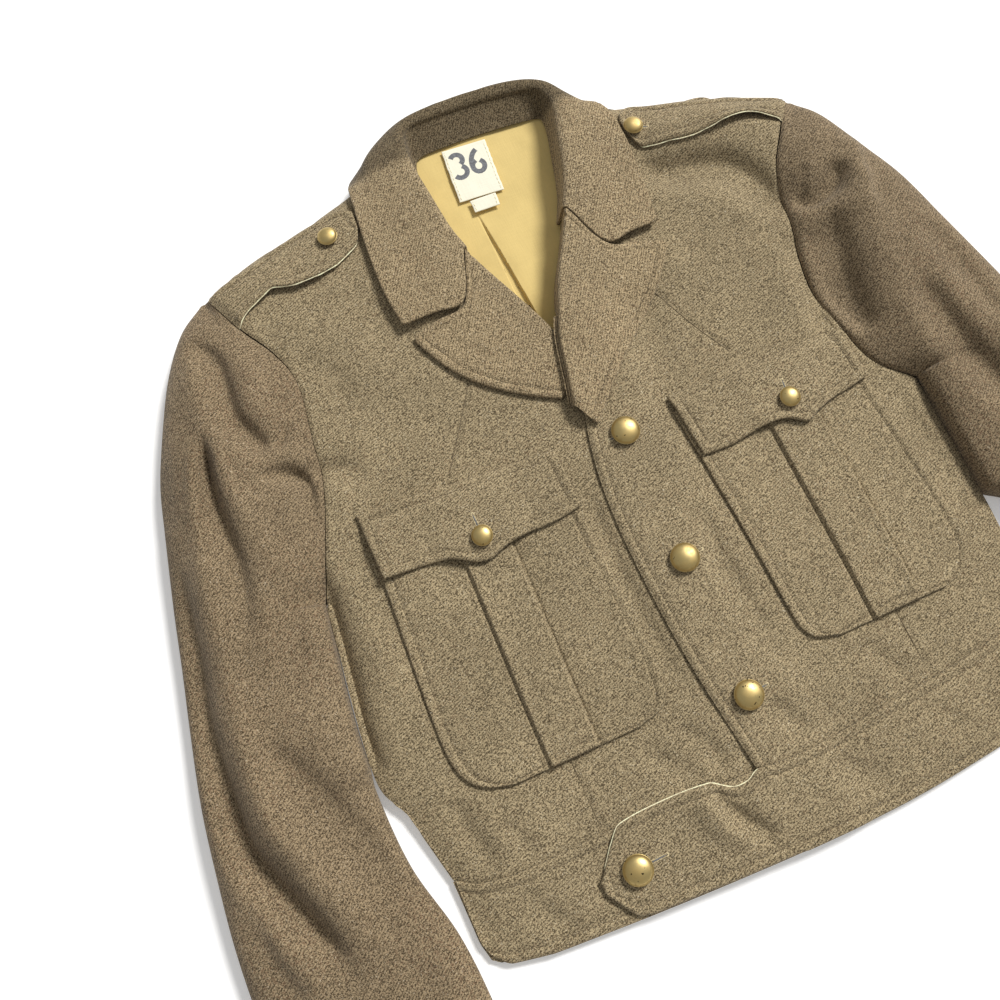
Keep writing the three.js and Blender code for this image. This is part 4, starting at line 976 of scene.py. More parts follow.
def declare(thing, grid, node):
    """Hangs a cloth piece on the root and hides the imported part that it stands for. Its area and
    length are worked out but not used.
    """
    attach(thing, "root")
    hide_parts(node)
    a, b = grid[:-1, :-1] - grid[1:, 1:], grid[:-1, 1:] - grid[1:, :-1]
    area = 0.5 * np.linalg.norm(np.cross(a, b), axis=2).sum() * MM * MM
    long = lengths_across(grid.transpose(1, 0, 2))[:, -1].max() * MM


def shell(name, grid, thickness, finish, relief, round_sides=(), floor_at=None, up_share=0.6,
          radius=None):
    """A cloth wall under an outer face. Rounded sides close to a soft edge, and relief, a
    function of the side distances and the points, raises or lowers the outer face."""
    normals = normals_of(grid, up_share)
    distances = side_distances(grid)
    height = relief(distances, grid)
    radius = thickness / 2 if radius is None else radius
    share = rolled(edge_distance(distances, round_sides), radius)
    half = (thickness / 2 * share)[..., None]
    middle = grid - normals * thickness / 2
    lift = (height * share)[..., None]
    outer = middle + normals * (half + lift)
    inner = middle - normals * half
    if floor_at is not None:
        least = floor_at(inner[..., 0], inner[..., 1]) + SEAM_GAP / 2
        free = edge_distance(distances, round_sides) > 0.01
        held_up = np.minimum(np.maximum(inner[..., 2], least), outer[..., 2])
        inner[..., 2] = np.where(free, held_up, inner[..., 2])
    thing = cloth_slab(name, outer, inner, finish)
    declare(thing, grid, name)
    return Cloth(thing, outer, normals, distances)


def overlay(name, x, y, foot, top, finish, relief=None, round_sides=()):
    """A piece that lies on a face, from the heights of its lower and upper faces."""
    low, high = foot(x, y), top(x, y)
    grid = np.stack([x, y, high], axis=-1)
    distances = side_distances(grid)
    share = rolled(edge_distance(distances, round_sides), np.median(high - low) / 2)
    middle = mix(low, high, 0.5)
    raised = high + (relief(distances, grid) if relief else 0)
    outer = np.stack([x, y, mix(middle, raised, share)], axis=-1)
    inner = np.stack([x, y, mix(middle, low, share)], axis=-1)
    thing = cloth_slab(name, outer, inner, finish)
    declare(thing, grid, name)
    return Cloth(thing, outer, normals_of(outer), distances)


def offset_line(cloth, side, inset, others):
    """Points on a cloth along one side, an inset in from it, clear of the other sewn sides."""
    along_rows = side.endswith("column")
    away = cloth.distances[side] if along_rows else cloth.distances[side].T
    points = cloth.outer if along_rows else cloth.outer.transpose(1, 0, 2)
    normals = cloth.normals if along_rows else cloth.normals.transpose(1, 0, 2)
    rest = edge_distance(cloth.distances, [name for name in others if name != side])
    rest = rest if along_rows else rest.T
    line, ups = [], []
    for i in range(len(points)):
        order = np.argsort(away[i])
        if away[i][order[-1]] < inset:
            continue
        if np.interp(inset, away[i][order], rest[i][order]) < inset - 0.2:
            continue
        line.append([np.interp(inset, away[i][order], points[i][order, k]) for k in range(3)])
        ups.append([np.interp(inset, away[i][order], normals[i][order, k]) for k in range(3)])
    return np.array(line), np.array(ups)


def stitch_places(line, ups, stitch, space):
    """Start, end and up direction of each stitch along a line."""
    steps = np.linalg.norm(np.diff(line, axis=0), axis=1)
    at = np.concatenate([[0], np.cumsum(steps)])
    count = int(at[-1] / (stitch + space))
    begin = np.arange(count) * (stitch + space)
    pick = lambda where, of: np.stack([np.interp(where, at, of[:, k]) for k in range(3)], axis=1)
    return pick(begin, line), pick(begin + stitch, line), pick(begin + stitch / 2, ups)


def spindles(starts, ends, ups, radius, sides=5):
    """Small thread stitches as closed spindles, as points and faces."""
    along = ends - starts
    length = np.maximum(np.linalg.norm(along, axis=1, keepdims=True), 1e-6)
    along = along / length
    ups = ups / np.maximum(np.linalg.norm(ups, axis=1, keepdims=True), 1e-6)
    across = np.cross(along, ups)
    count = len(starts)
    vertices = [starts[:, None]]
    for share in (0.2, 0.8):
        for k in range(sides):
            angle = 2 * math.pi * k / sides
            ring = math.cos(angle) * across + math.sin(angle) * 0.8 * ups
            vertices.append((mix(starts, ends, share) + radius * ring)[:, None])
    vertices.append(ends[:, None])
    each = 2 * sides + 2
    vertices = np.concatenate(vertices, axis=1).reshape(-1, 3)
    faces = []
    for k in range(sides):
        n = (k + 1) % sides
        faces.append((0, 1 + n, 1 + k))
        faces.append((1 + k, 1 + n, 1 + sides + n))
        faces.append((1 + k, 1 + sides + n, 1 + sides + k))
        faces.append((1 + sides + k, 1 + sides + n, each - 1))
    offsets = (np.arange(count) * each)[:, None, None]
    return vertices, (np.array(faces)[None] + offsets).reshape(-1, 3)


def topstitch(cloth, sides, finish, inset=None):
    """One row of stitches inside the given sides of a piece."""
    inset = inset or size_of("stitch_inset")
    places = []
    for side in sides:
        line, ups = offset_line(cloth, side, inset, sides)
        if len(line) > 2:
            line = line + STITCH_RISE * ups
            places.append(stitch_places(line, ups, size_of("stitch"), size_of("stitch_space")))
    starts, ends, ups = (np.concatenate(parts) for parts in zip(*places))
    vertices, faces = spindles(starts, ends, ups, STITCH_THREAD)
    thing = new_object("stitching_" + cloth.thing.name, vertices, faces, finish)
    thing.data.shade_smooth()
    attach(thing, "root")


def ring_faces(rings, sides):
    """Faces between each ring of points and the next one."""
    faces = []
    for i in range(rings - 1):
        for k in range(sides):
            n = (k + 1) % sides
            faces.append((i * sides + k, i * sides + n, (i + 1) * sides + n, (i + 1) * sides + k))
    return faces


def tube(name, line, radius, finish, sides=7):
    """A thin round edge along a line, closed at both ends."""
    line = np.asarray(line, float)
    along = np.gradient(line, axis=0)
    along /= np.linalg.norm(along, axis=1, keepdims=True)
    across = np.cross(along, [0, 0, 1.0])
    across /= np.linalg.norm(across, axis=1, keepdims=True)
    up = np.cross(across, along)
    taper = np.minimum(1, np.minimum(np.arange(len(line)), np.arange(len(line))[::-1]) / 2 + 0.1)
    rings = []
    for k in range(sides):
        angle = 2 * math.pi * k / sides
        ring = math.cos(angle) * across + math.sin(angle) * up
        rings.append(line + (radius * taper)[:, None] * ring)
    vertices = np.stack(rings, axis=1).reshape(-1, 3)
    faces = ring_faces(len(line), sides)
    faces.append(tuple(range(sides))[::-1])
    faces.append(tuple(range((len(line) - 1) * sides, len(line) * sides)))
    thing = new_object(name, vertices, faces, finish)
    clean(thing, sharp=80)
    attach(thing, "root")


class Value:
    """A socket in a finish, whose arithmetic adds Math nodes."""

    def __init__(self, finish, socket):
        self.finish = finish
        self.socket = socket

    def maths(self, operation, *others):
        inputs = dict(enumerate((self,) + others))
        return self.finish.add("ShaderNodeMath", {"operation": operation}, inputs)

    def turned(self, operation, other):
        return self.finish.add("ShaderNodeMath", {"operation": operation}, {0: other, 1: self})

    def __add__(self, other):
        return self.maths("ADD", other)

    __radd__ = __add__

    def __sub__(self, other):
        return self.maths("SUBTRACT", other)

    def __rsub__(self, other):
        return self.turned("SUBTRACT", other)

    def __mul__(self, other):
        return self.maths("MULTIPLY", other)

    __rmul__ = __mul__

    def __truediv__(self, other):
        return self.maths("DIVIDE", other)

    def __rtruediv__(self, other):
        return self.turned("DIVIDE", other)

    def __pow__(self, other):
        return self.maths("POWER", other)

    def __neg__(self):
        return self.maths("MULTIPLY", -1.0)


class Finish:
    """One material, with one method that adds any node."""

    def __init__(self, name, **constants):
        self.material = bpy.data.materials.new(name)
        self.material.use_nodes = True
        self.tree = self.material.node_tree
        self.tree.nodes.clear()
        output = self.tree.nodes.new("ShaderNodeOutputMaterial")
        self.shader = self.tree.nodes.new("ShaderNodeBsdfPrincipled")
        self.tree.links.new(self.shader.outputs[0], output.inputs["Surface"])
        for socket, value in constants.items():
            self.shader.inputs[socket.replace("_", " ")].default_value = value

    def add(self, kind, settings=None, inputs=None, output=0):
        node = self.tree.nodes.new(kind)
        for key, value in (settings or {}).items():
            setattr(node, key, value)
        for key, value in (inputs or {}).items():
            self.feed(node.inputs[key], value)
        return Value(self, node.outputs[output])

    def feed(self, socket, value):
        if isinstance(value, Value):
            self.tree.links.new(value.socket, socket)
        else:
            socket.default_value = value

    def place(self):
        return self.add("ShaderNodeTexCoord", output="Object")

    def upwards(self, place):
        """How far up the jacket a place is."""
        return self.add("ShaderNodeSeparateXYZ", inputs={"Vector": place}, output="Y")

    def noise(self, place, size, detail=2.0, roughness=0.5, distortion=0.0):
        """Noise whose features are about a size in millimetres."""
        scale = 0.5 / (size * MM)
        inputs = {"Vector": place, "Scale": scale, "Detail": detail, "Roughness": roughness}
        inputs["Distortion"] = distortion
        return self.add("ShaderNodeTexNoise", {"noise_dimensions": "3D"}, inputs)

    def stretched(self, place, turn, stretch):
        """A place turned about Z and squeezed, so that what it feeds runs long one way."""
        inputs = {"Vector": place, "Rotation": (0, 0, turn), "Scale": stretch}
        return self.add("ShaderNodeMapping", {"vector_type": "POINT"}, inputs)

    def between(self, value, low, high):
        """0 at the low value and 1 at the high one, smooth between them."""
        inputs = {"Value": value, "From Min": low, "From Max": high}
        return self.add("ShaderNodeMapRange", {"interpolation_type": "SMOOTHSTEP"}, inputs)

    def blend(self, a, b, share, way="MIX"):
        """Two colours blended. The colour sockets of the node are 6 and 7 in, and 2 out."""
        settings = {"data_type": "RGBA", "blend_type": way, "clamp_factor": True}
        node = self.tree.nodes.new("ShaderNodeMix")
        for key, value in settings.items():
            setattr(node, key, value)
        self.feed(node.inputs[0], share)
        self.feed(node.inputs[6], a)
        self.feed(node.inputs[7], b)
        return Value(self, node.outputs[2])

    def raised(self, height, strength, distance):
        inputs = {"Height": height, "Strength": strength, "Distance": distance * MM}
        return self.add("ShaderNodeBump", inputs=inputs)

    def set(self, socket, value):
        self.feed(self.shader.inputs[socket], value)
        return self


def twill_ridges(finish, place, turn):
    ridges = finish.stretched(place, turn, (1, 1, 1))
    return finish.add(
        "ShaderNodeTexWave",
        {"wave_type": "BANDS", "bands_direction": "X"},
        {"Vector": ridges, "Scale": WAVE_SCALE / (TWILL * MM), "Distortion": 2.6, "Detail": 1.5,
         "Detail Scale": 2.0},
    )


def mixed_fibres(finish, place, tone, warmth):
    """Dark and pale fibres by their tone, with rust ones and the palest flecks among them."""
    cloth = finish.blend(colour_of("wool_dark"), colour_of("wool_pale"), tone)
    rust = finish.between(finish.noise(place, 0.9, detail=1.0), 0.52, 0.66)
    warm = finish.between(finish.noise(place, 46, detail=2.0), 0.38, 0.62)
    cloth = finish.blend(cloth, colour_of("wool_rust"), rust * (0.10 + warmth * warm))
    flecks = finish.between(finish.noise(place, 0.55, detail=1.0), 0.66, 0.76)
    return finish.blend(cloth, colour_of("wool_fleck"), 0.8 * flecks)


def patchy_tint(finish, place, tint):
    """A tint that is a little darker or paler in wide patches."""
    worn = finish.between(finish.noise(place, 30, detail=3.0), 0.3, 0.7)
    dark, pale = (tuple(share * value for value in tint) + (1,) for share in (0.93, 1.07))
    return finish.blend(dark, pale, worn)


def painted_neck_shade(finish, place, cloth, heights):
    """The cloth with painted shade: darkened between two heights of the jacket and past them, where
    the collar's stand at the back of the neck lies in shade.
    """
    start, end = (to_frame((0, y, 0))[1] for y in heights)
    # Mask of the painted shade, rising from the first height to the second
    neck = finish.between(finish.upwards(place), start, end)
    return finish.blend(cloth, (NECK_SHADE, NECK_SHADE, NECK_SHADE, 1), neck, way="MULTIPLY")


def wool_finish(name, turn, tint, warmth, shaded_past=None):
    """Heathered wool twill. Above the heights that its last argument gives, it is darkened with
    painted shade.
    """
    finish = Finish(
        name, Roughness=0.95, Sheen_Weight=0.12, Sheen_Roughness=0.5, Specular_IOR_Level=0.12
    )
    place = finish.place()
    fine = finish.noise(place, 0.4, detail=2.0, roughness=0.7)
    clumps = finish.noise(place, 0.8, detail=2.0, roughness=0.6)
    twill = twill_ridges(finish, place, turn)
    tone = finish.between(0.54 * fine + 0.36 * clumps + 0.06 * twill, 0.375, 0.60)
    cloth = mixed_fibres(finish, place, tone, warmth)
    cloth = finish.blend(cloth, patchy_tint(finish, place, tint), 1.0, way="MULTIPLY")
    if shaded_past is not None:
        cloth = painted_neck_shade(finish, place, cloth, shaded_past)
    height = 0.2 * twill + 0.9 * fine + 0.7 * clumps
    finish.set("Base Color", cloth)
    finish.set("Normal", finish.raised(height, 0.5, 0.3))
    return finish.material


def cotton_finish(name, colour, weave, soil):
    """Plain cotton with a fine weave, a little soiled and faded."""
    finish = Finish(name, Roughness=0.82, Sheen_Weight=0.1, Specular_IOR_Level=0.25)
    place = finish.place()
    warp = finish.noise(finish.stretched(place, 0, (1.0, 0.12, 1.0)), weave, detail=1.0)
    weft = finish.noise(finish.stretched(place, 0, (0.12, 1.0, 1.0)), weave, detail=1.0)
    stain = finish.between(finish.noise(place, 16, detail=4.0, distortion=0.6), 0.42, 0.72)
    dark = tuple(value * 0.86 for value in colour[:3]) + (1,)
    cloth = finish.blend(colour, dark, stain * soil)
    grain = finish.between(0.5 * warp + 0.5 * weft, 0.3, 0.7)
    cloth = finish.blend(cloth, dark, 0.35 * (1 - grain))
    finish.set("Base Color", cloth)
    finish.set("Normal", finish.raised(warp + weft, 0.35, 0.25))
    return finish.material


def thread_finish(name, colour):
    finish = Finish(name, Roughness=0.8, Sheen_Weight=0.15)
    place = finish.place()
    twist = finish.between(finish.noise(place, 0.8, detail=2.0), 0.3, 0.7)
    pale = tuple(min(1, value * 1.7) for value in colour[:3]) + (1,)
    finish.set("Base Color", finish.blend(colour, pale, twist))
    finish.set("Normal", finish.raised(twist, 0.4, 0.1))
    return finish.material


def brass_finish():
    """Old brass, dull in cloudy patches and dark in its pits."""
    finish = Finish("worn_brass", Metallic=1.0)
    place = finish.place()
    cloudy = finish.between(finish.noise(place, 4, detail=4.0, roughness=0.6), 0.36, 0.7)
    pits = finish.between(finish.noise(place, 1.4, detail=1.0), 0.72, 0.77)
    dull = finish.noise(place, 1.0, detail=5.0, roughness=0.7)
    colour = finish.blend(colour_of("brass"), BRASS_DULL, 0.4 * cloudy)
    colour = finish.blend(colour, BRASS_PIT, pits)
    finish.set("Base Color", colour)
    finish.set("Roughness", 0.36 + 0.2 * cloudy + 0.12 * dull)
    finish.set("Normal", finish.raised(0.6 * dull - 1.0 * pits, 0.22, 0.15))
    return finish.material


def floor_finish():
    finish = Finish(
        "pale_floor", Roughness=0.9, Emission_Color=(1, 1, 1, 1), Emission_Strength=FLOOR_GLOW
    )
    mottle = finish.between(finish.noise(finish.place(), 90, detail=2.0), 0.3, 0.7)
    finish.set("Base Color", finish.blend((0.93, 0.93, 0.93, 1), (0.95, 0.95, 0.95, 1), mottle))
    return finish.material


def finish_named(name):
    """A finish by name, made when it is first asked for."""
    found = bpy.data.materials.get(name)
    if found:
        return found
    makers = {
        "body_wool": lambda: wool_finish("body_wool", 1.2, (1.0, 1.0, 1.0), 0.10),
        "sleeve_wool": lambda: wool_finish("sleeve_wool", 0.9, (0.76, 0.72, 0.73), 0.26),
        # The collar gets painted shade above these heights, at the back of the neck
        "collar_wool": lambda: wool_finish(
            "collar_wool", 0.6, (1.06, 1.03, 1.02), 0.12, shaded_past=(378, 390)
        ),
        "neck_cotton": lambda: cotton_finish("neck_cotton", colour_of("lining"), 0.5, 0.5),
        "label_cotton": lambda: cotton_finish("label_cotton", colour_of("label"), 0.5, 0.25),
        "wool_thread": lambda: thread_finish("wool_thread", colour_of("thread")),
        "pale_thread": lambda: thread_finish("pale_thread", colour_of("piping")),
        "hole_thread": lambda: thread_finish("hole_thread", colour_of("hole_thread")),
        # Ink of the stamped figures, and painted shade in the buttonhole slits
        "stamp_ink": lambda: thread_finish("stamp_ink", colour_of("ink")),
        "worn_brass": brass_finish,
        "pale_floor": floor_finish,
    }
    return makers[name]()


def camera_back():
    """The direction from the jacket to the camera."""
    turn, rise = math.radians(CAMERA_AZIMUTH), math.radians(CAMERA_ELEVATION)
    return Vector(
        (math.sin(turn) * math.cos(rise), -math.cos(turn) * math.cos(rise), math.sin(rise))
    )


def add_camera():
    camera = bpy.data.objects.new("camera", bpy.data.cameras.new("camera"))
    camera.data.lens = CAMERA_LENS
    camera.data.sensor_width = SENSOR_WIDTH
    back = camera_back()
    aim = Vector(to_frame(CAMERA_AIM))
    camera.location = aim + back * CAMERA_DISTANCE * MM
    camera.rotation_euler = (-back).to_track_quat("-Z", "Y").to_euler()
    turn = math.radians(CAMERA_AZIMUTH)
    right = Vector((math.cos(turn), math.sin(turn), 0))
    up = back.cross(right)
    camera.matrix_world = Matrix.Translation(camera.location) @ Matrix(
        (
            (right.x, up.x, back.x, 0),
            (right.y, up.y, back.y, 0),
            (right.z, up.z, back.z, 0),
            (0, 0, 0, 1),
        )
    )
    bpy.context.collection.objects.link(camera)
    bpy.context.scene.camera = camera


def add_sun():
    """A soft light from the upper right of the picture."""
    data = bpy.data.lights.new("window_light", "SUN")
    data.energy = SUN_STRENGTH
    data.angle = math.radians(SUN_SPREAD)
    data.color = SUN_COLOUR
    light = bpy.data.objects.new("window_light", data)
    turn, rise = math.radians(SUN_TURN), math.radians(SUN_RISE)
    away = Vector((math.cos(turn) * math.cos(rise), math.sin(turn) * math.cos(rise), math.sin(rise)))
    light.location = Vector(to_frame(CAMERA_AIM)) + 2 * away
    light.rotation_euler = (-away).to_track_quat("-Z", "Y").to_euler()
    bpy.context.collection.objects.link(light)


def add_floor():
    half = FLOOR_HALF
    mesh = bpy.data.meshes.new("floor")
    corners = [(-half, -half), (half, -half), (half, half), (-half, half)]
    low = CAD_BOX[0][2] - FLOOR_BELOW
    mesh.from_pydata([(x, y, low) for x, y in corners], [], [(0, 1, 2, 3)])
    mesh.materials.append(finish_named("pale_floor"))
    floor = bpy.data.objects.new("floor", mesh)
    bpy.context.collection.objects.link(floor)


def body_shares(hand, step):
    """Shares up the body, even along the side and again along the armhole."""
    sides = len(SIDES[hand].rows) - 1
    armpit = sides / (sides + len(ARMHOLES[hand].rows) - 1)
    side = np.linspace(0, armpit, int(SIDE_LENGTH / step))
    armhole = mix(armpit, 1, np.linspace(0, 1, int(ARMHOLE_LENGTH / step)))
    return np.concatenate([side, armhole[1:]])


def to_waist(a, b, u, v):
    """What bends the lowest rows of a panel to the waist seam."""
    seam = WAIST.read("x", mix(a["x"], b["x"], u), "seam") + SEWN_GAP
    return (seam - mix(a["y"], b["y"], u)) * np.maximum(0, 1 - v / WAIST_BEND) ** 2


def to_shoulder(hand, a, b, u, v):
    """What bends the highest rows of a front to the shoulder seam."""
    top = SHOULDERS[hand].read("x", mix(a["x"], b["x"], u), "y") - SEWN_GAP
    return (top - mix(a["y"], b["y"], u)) * v**SHOULDER_BEND


def front_grid(hand):
    """Points of a front's outer face, from its side and armhole to its front edge."""
    step = size_of("cut")
    inward = 1 if hand == "right" else -1
    outer = chain(SIDES[hand], ARMHOLES[hand])
    v, u = np.meshgrid(body_shares(hand, step), close_shares(FRONT_WIDTH, step), indexing="ij")
    a, b = outer(v), FRONT_EDGES[hand].at(v)
    foot_a = outer(0.0)
    foot_b = FRONT_EDGES[hand].at(0.0)
    x = mix(a["x"] + inward * SEWN_GAP, b["x"], u)
    y = mix(a["y"], b["y"], u) + to_waist(foot_a, foot_b, u, v)
    y = y + to_shoulder(hand, outer(1.0), FRONT_EDGES[hand].at(1.0), u, v)
    return np.stack([x, y, front_top(hand, x, y)], axis=-1)


def front_relief(hand):
    """Darts, the armhole seam and, on the left front, the stitched edge."""

    def relief(distances, grid):
        x, y = grid[..., 0], grid[..., 1]
        height = sum(seam_dent(points, x, y) for points in DARTS[hand])
        from_waist = distances["first_row"]
        height = height + 0.4 * bump(from_waist - 4, 2.6) - 0.7 * bump(from_waist, 1.5)
        height = height - SEAM_DENT * bump(distances["first_column"], 1.5) * ramp(y, 70, 100)
        if hand == "left":
            below = ramp(y, 196, 176)
            edge = distances["last_column"]
            stitched = hem_profile(edge, size_of("stitch_inset"))
            height = height + below * (stitched - 1.1 * bump(edge, 2.2))
        return height

    return relief


def make_front(hand):
    cloth = shell(
        "front_" + hand, front_grid(hand), size_of("wool"), finish_named("body_wool"),
        relief=front_relief(hand), floor_at=lambda x, y: seam_height(y),
        round_sides=("last_column",) if hand == "left" else (),
    )
    if hand == "left":
        topstitch(cloth, ("last_column",), finish_named("wool_thread"))
    # Along each dart a sunk dark thread: its seam thread, and also painted shade in the seam's
    # groove
    for number, points in enumerate(DARTS[hand], 1):
        ends = Table("x y", *points)
        at = ends.at(np.linspace(0.03, 0.97, 40))
        sunk = front_top(hand, at["x"], at["y"]) - 0.75 * DART_DEPTH
        line = np.stack([at["x"], at["y"], sunk], axis=-1)
        tube(f"dart_{hand}_{number}", line, DART_THREAD_AND_SHADE, finish_named("wool_thread"))


def make_back():
    step = size_of("cut") * 1.6
    right, left = chain(SIDES["right"], ARMHOLES["right"]), chain(SIDES["left"], ARMHOLES["left"])
    v, u = np.meshgrid(body_shares("right", step), close_shares(BACK_WIDTH, step), indexing="ij")
    a, b = right(v), left(v)
    top_a, top_b = right(1.0), left(1.0)
    x = mix(a["x"] + SEAM_GAP / 2, b["x"] - SEAM_GAP / 2, u)
    top = BACK_TOP.read("x", mix(top_a["x"], top_b["x"], u), "y") - SEWN_GAP
    to_top = top - mix(top_a["y"], top_b["y"], u)
    y = mix(a["y"], b["y"], u) + to_waist(right(0.0), left(0.0), u, v) + to_top * v**3
    grid = np.stack([x, y, back_foot(x, y)], axis=-1)
    inner = grid + normals_of(grid) * size_of("wool")
    limit = seam_height(inner[..., 1]) - SEAM_GAP / 2
    from_top = BACK_TOP.read("x", x, "y") - y
    at_shoulder = ramp(from_top, 7, 1) * ramp(np.abs(x - NECK_MIDDLE), *NECK_CLEAR)
    inner[..., 2] = mix(inner[..., 2], limit, at_shoulder)
    inner[..., 2] = np.maximum(np.minimum(inner[..., 2], limit), grid[..., 2])
    fall = np.maximum(0, crease_relief(BACK_CREASES, x, y))
    inner[..., 2] += 0.6 * fall
    thing = cloth_slab("back", inner, grid, finish_named("body_wool"))
    declare(thing, grid, "back")


def sleeve_path(hand):
    """The inner side of a sleeve from the shoulder down, and the share where its armpit is."""
    armhole = reversed_table(ARMHOLES[hand])
    segments = len(armhole.rows) + len(SLEEVE_INNER[hand].rows) - 2
    return chain(armhole, SLEEVE_INNER[hand]), (len(armhole.rows) - 1) / segments


def sleeve_place(hand, v, u):
    """Places on a sleeve, its outer and inner sides there, and 1 beside the armhole."""
    outward = -1 if hand == "right" else 1
    path, armpit = sleeve_path(hand)
    a, b = SLEEVE_OUTER[hand].at(v), path(v)
    x = mix(a["x"], b["x"] + outward * SEWN_GAP, u)
    y = mix(a["y"], b["y"], u)
    armhole = ramp(v, armpit + 0.05, armpit - 0.02)
    side = SIDES[hand].read("y", y, "x") + outward * SEWN_GAP
    beside = ramp(y, *SIDE_TOUCH) * ramp(v, armpit - 0.01, armpit) * ramp(u, 0.6, 1)
    x = mix(x, side, beside)
    return x, y, a, b, armhole


def sleeve_grid(hand, across):
    """Shares down a sleeve, with one at the armpit, and across it."""
    step = size_of("cut")
    _, armpit = sleeve_path(hand)
    armhole = np.linspace(0, armpit, int(SLEEVE_LENGTHS[0] / step))
    below = np.linspace(armpit, 1, int(SLEEVE_LENGTHS[1] / step))
    return np.meshgrid(np.concatenate([armhole, below[1:]]), across, indexing="ij")


def close_at_both(count):
    """Shares from 0 to 1 that stand closer together towards both ends."""
    return (1 - np.cos(np.pi * np.linspace(0, 1, count))) / 2


def make_top_sleeve(hand):
    v, u = sleeve_grid(hand, close_at_both(64))
    x, y, a, b, armhole = sleeve_place(hand, v, u)
    free = SLEEVE_SEAM_HEIGHT + SEAM_GAP / 2
    joined = np.maximum(front_top(hand, b["x"], b["y"]), free)
    start = np.where(u < 0.5, free, mix(free, joined, armhole))
    power = np.where(u < 0.5, SLEEVE_DOME, mix(SLEEVE_DOME, ARMHOLE_DOME, armhole))
    dome = (2 * np.sqrt(np.maximum(0, u * (1 - u)))) ** power
    relief = crease_relief(SLEEVE_CREASES[hand], x, y)
    relief = relief - 0.5 * lumps(x, y, 40, 11) - 0.15 * lumps(x, y, 15, 12)
    kept = np.where(u < 0.5, dome, mix(dome, ramp(u, 1.0, 0.9), armhole))
    z = mix(start, a["crown"], dome) - relief * kept
    grid = np.stack([x, y, z], axis=-1)

    def sleeve_relief(distances, points):
        from_seam = distances["last_column"]
        seam = armhole * (0.35 * bump(from_seam - 5, 4) - SEAM_DENT * bump(from_seam, 1.5))
        hem = distances["last_row"]
        return seam + 0.4 * bump(hem - 0.5 * CUFF_HEM, 3) - 0.5 * bump(hem - CUFF_HEM, 1)

    shell(
        "top_sleeve_" + hand, grid, size_of("wool"), finish_named("sleeve_wool"),
        relief=sleeve_relief, floor_at=lambda px, py: SLEEVE_SEAM_HEIGHT + 0 * px,
        round_sides=("last_row",),
    )


def make_under_sleeve(hand):
    v, u = sleeve_grid(hand, close_at_both(40))
    x, y, a, b, armhole = sleeve_place(hand, v, u)
    seam = SLEEVE_SEAM_HEIGHT - SEAM_GAP / 2
    width = np.hypot(a["x"] - b["x"], a["y"] - b["y"])
    radius = np.minimum(SLEEVE_UNDER_ROLL, width / 3)
    outer = seam * (1 - rolled(u * width, radius))
    joined = back_foot(b["x"], b["y"])
    inner = mix(seam, joined, armhole) * (1 - rolled((1 - u) * width, radius))
    grid = np.stack([x, y, outer + inner], axis=-1)
    upper = grid + normals_of(grid) * size_of("wool")
    upper[..., 2] = np.maximum(np.minimum(upper[..., 2], seam), grid[..., 2])
    thing = cloth_slab("under_sleeve_" + hand, upper, grid, finish_named("sleeve_wool"))
    declare(thing, grid, "under_sleeve_" + hand)


def smooth_section(points, shares):
    """A smooth curve through the points of each section, read at even shares."""
    count = points.shape[1]
    place = shares * (count - 1)
    i = np.minimum(place.astype(int), count - 2)
    f = (place - i)[None, :, None]
    b, c = points[:, i], points[:, i + 1]
    a = np.where((i > 0)[None, :, None], points[:, np.maximum(i - 1, 0)], 2 * b - c)
    d = np.where((i + 2 < count)[None, :, None], points[:, np.minimum(i + 2, count - 1)], 2 * c - b)
    return b + 0.5 * f * (c - a + f * (2 * a - 5 * b + 4 * c - d + f * (3 * b - a - 3 * c + d)))


def folded_grid(row, rest_at, across):
    """A strip folded over its roll line: up from the neck, over, and down to its edge."""
    stack = lambda name, z: np.stack([row[name + "_x"], row[name + "_y"], z], axis=-1)
    neck, roll, edge = (stack(name, row[name + "_z"]) for name in ("neck", "roll", "edge"))
    flat = stack("leaf", row["roll_z"])
    away = flat - roll
    length = np.linalg.norm(away, axis=1)
    away = away / length[:, None]
    drop = 0.5 * length / np.linalg.norm(edge - roll, axis=1)
    leaf = stack("leaf", mix(row["roll_z"], row["edge_z"], drop))
    near_top = mix(neck, roll, 0.95)
    near_top[:, 2] = row["roll_z"] - ROLL_RADIUS
    over = roll + 0.3 * ROLL_RADIUS * away
    over[:, 2] = row["roll_z"] - ROLL_SOFTNESS
    stand_low = mix(neck, roll, 0.56)
    stand_low[:, 2] = mix(neck[:, 2], roll[:, 2], 0.36)
    stand = [neck, stand_low, near_top, over]
    fall = [roll + 1.6 * ROLL_RADIUS * away, leaf, mix(leaf, edge, 0.5), edge]
    for points in fall:
        points[:, 2] = np.maximum(points[:, 2], rest_at(points[:, 0], points[:, 1]))
    grid = smooth_section(np.stack(stand + fall, axis=1), across)
    on_fall = across > 4.2 / SPANS
    rest = rest_at(grid[..., 0], grid[..., 1])
    grid[..., 2] = np.where(on_fall[None], np.maximum(grid[..., 2], rest), grid[..., 2])
    return grid


def slopes(face, x, y, step):
    """How steeply a face rises along X and along Y."""
    slope_x = (face(x + step, y) - face(x - step, y)) / (2 * step)
    slope_y = (face(x, y + step) - face(x, y - step)) / (2 * step)
    return slope_x, slope_y


def slope_factor(face, x, y):
    """How much more height a thickness takes where a face is steep."""
    slope_x, slope_y = slopes(face, x, y, 2)
    return np.minimum(np.sqrt(1 + slope_x**2 + slope_y**2), STEEPEST)


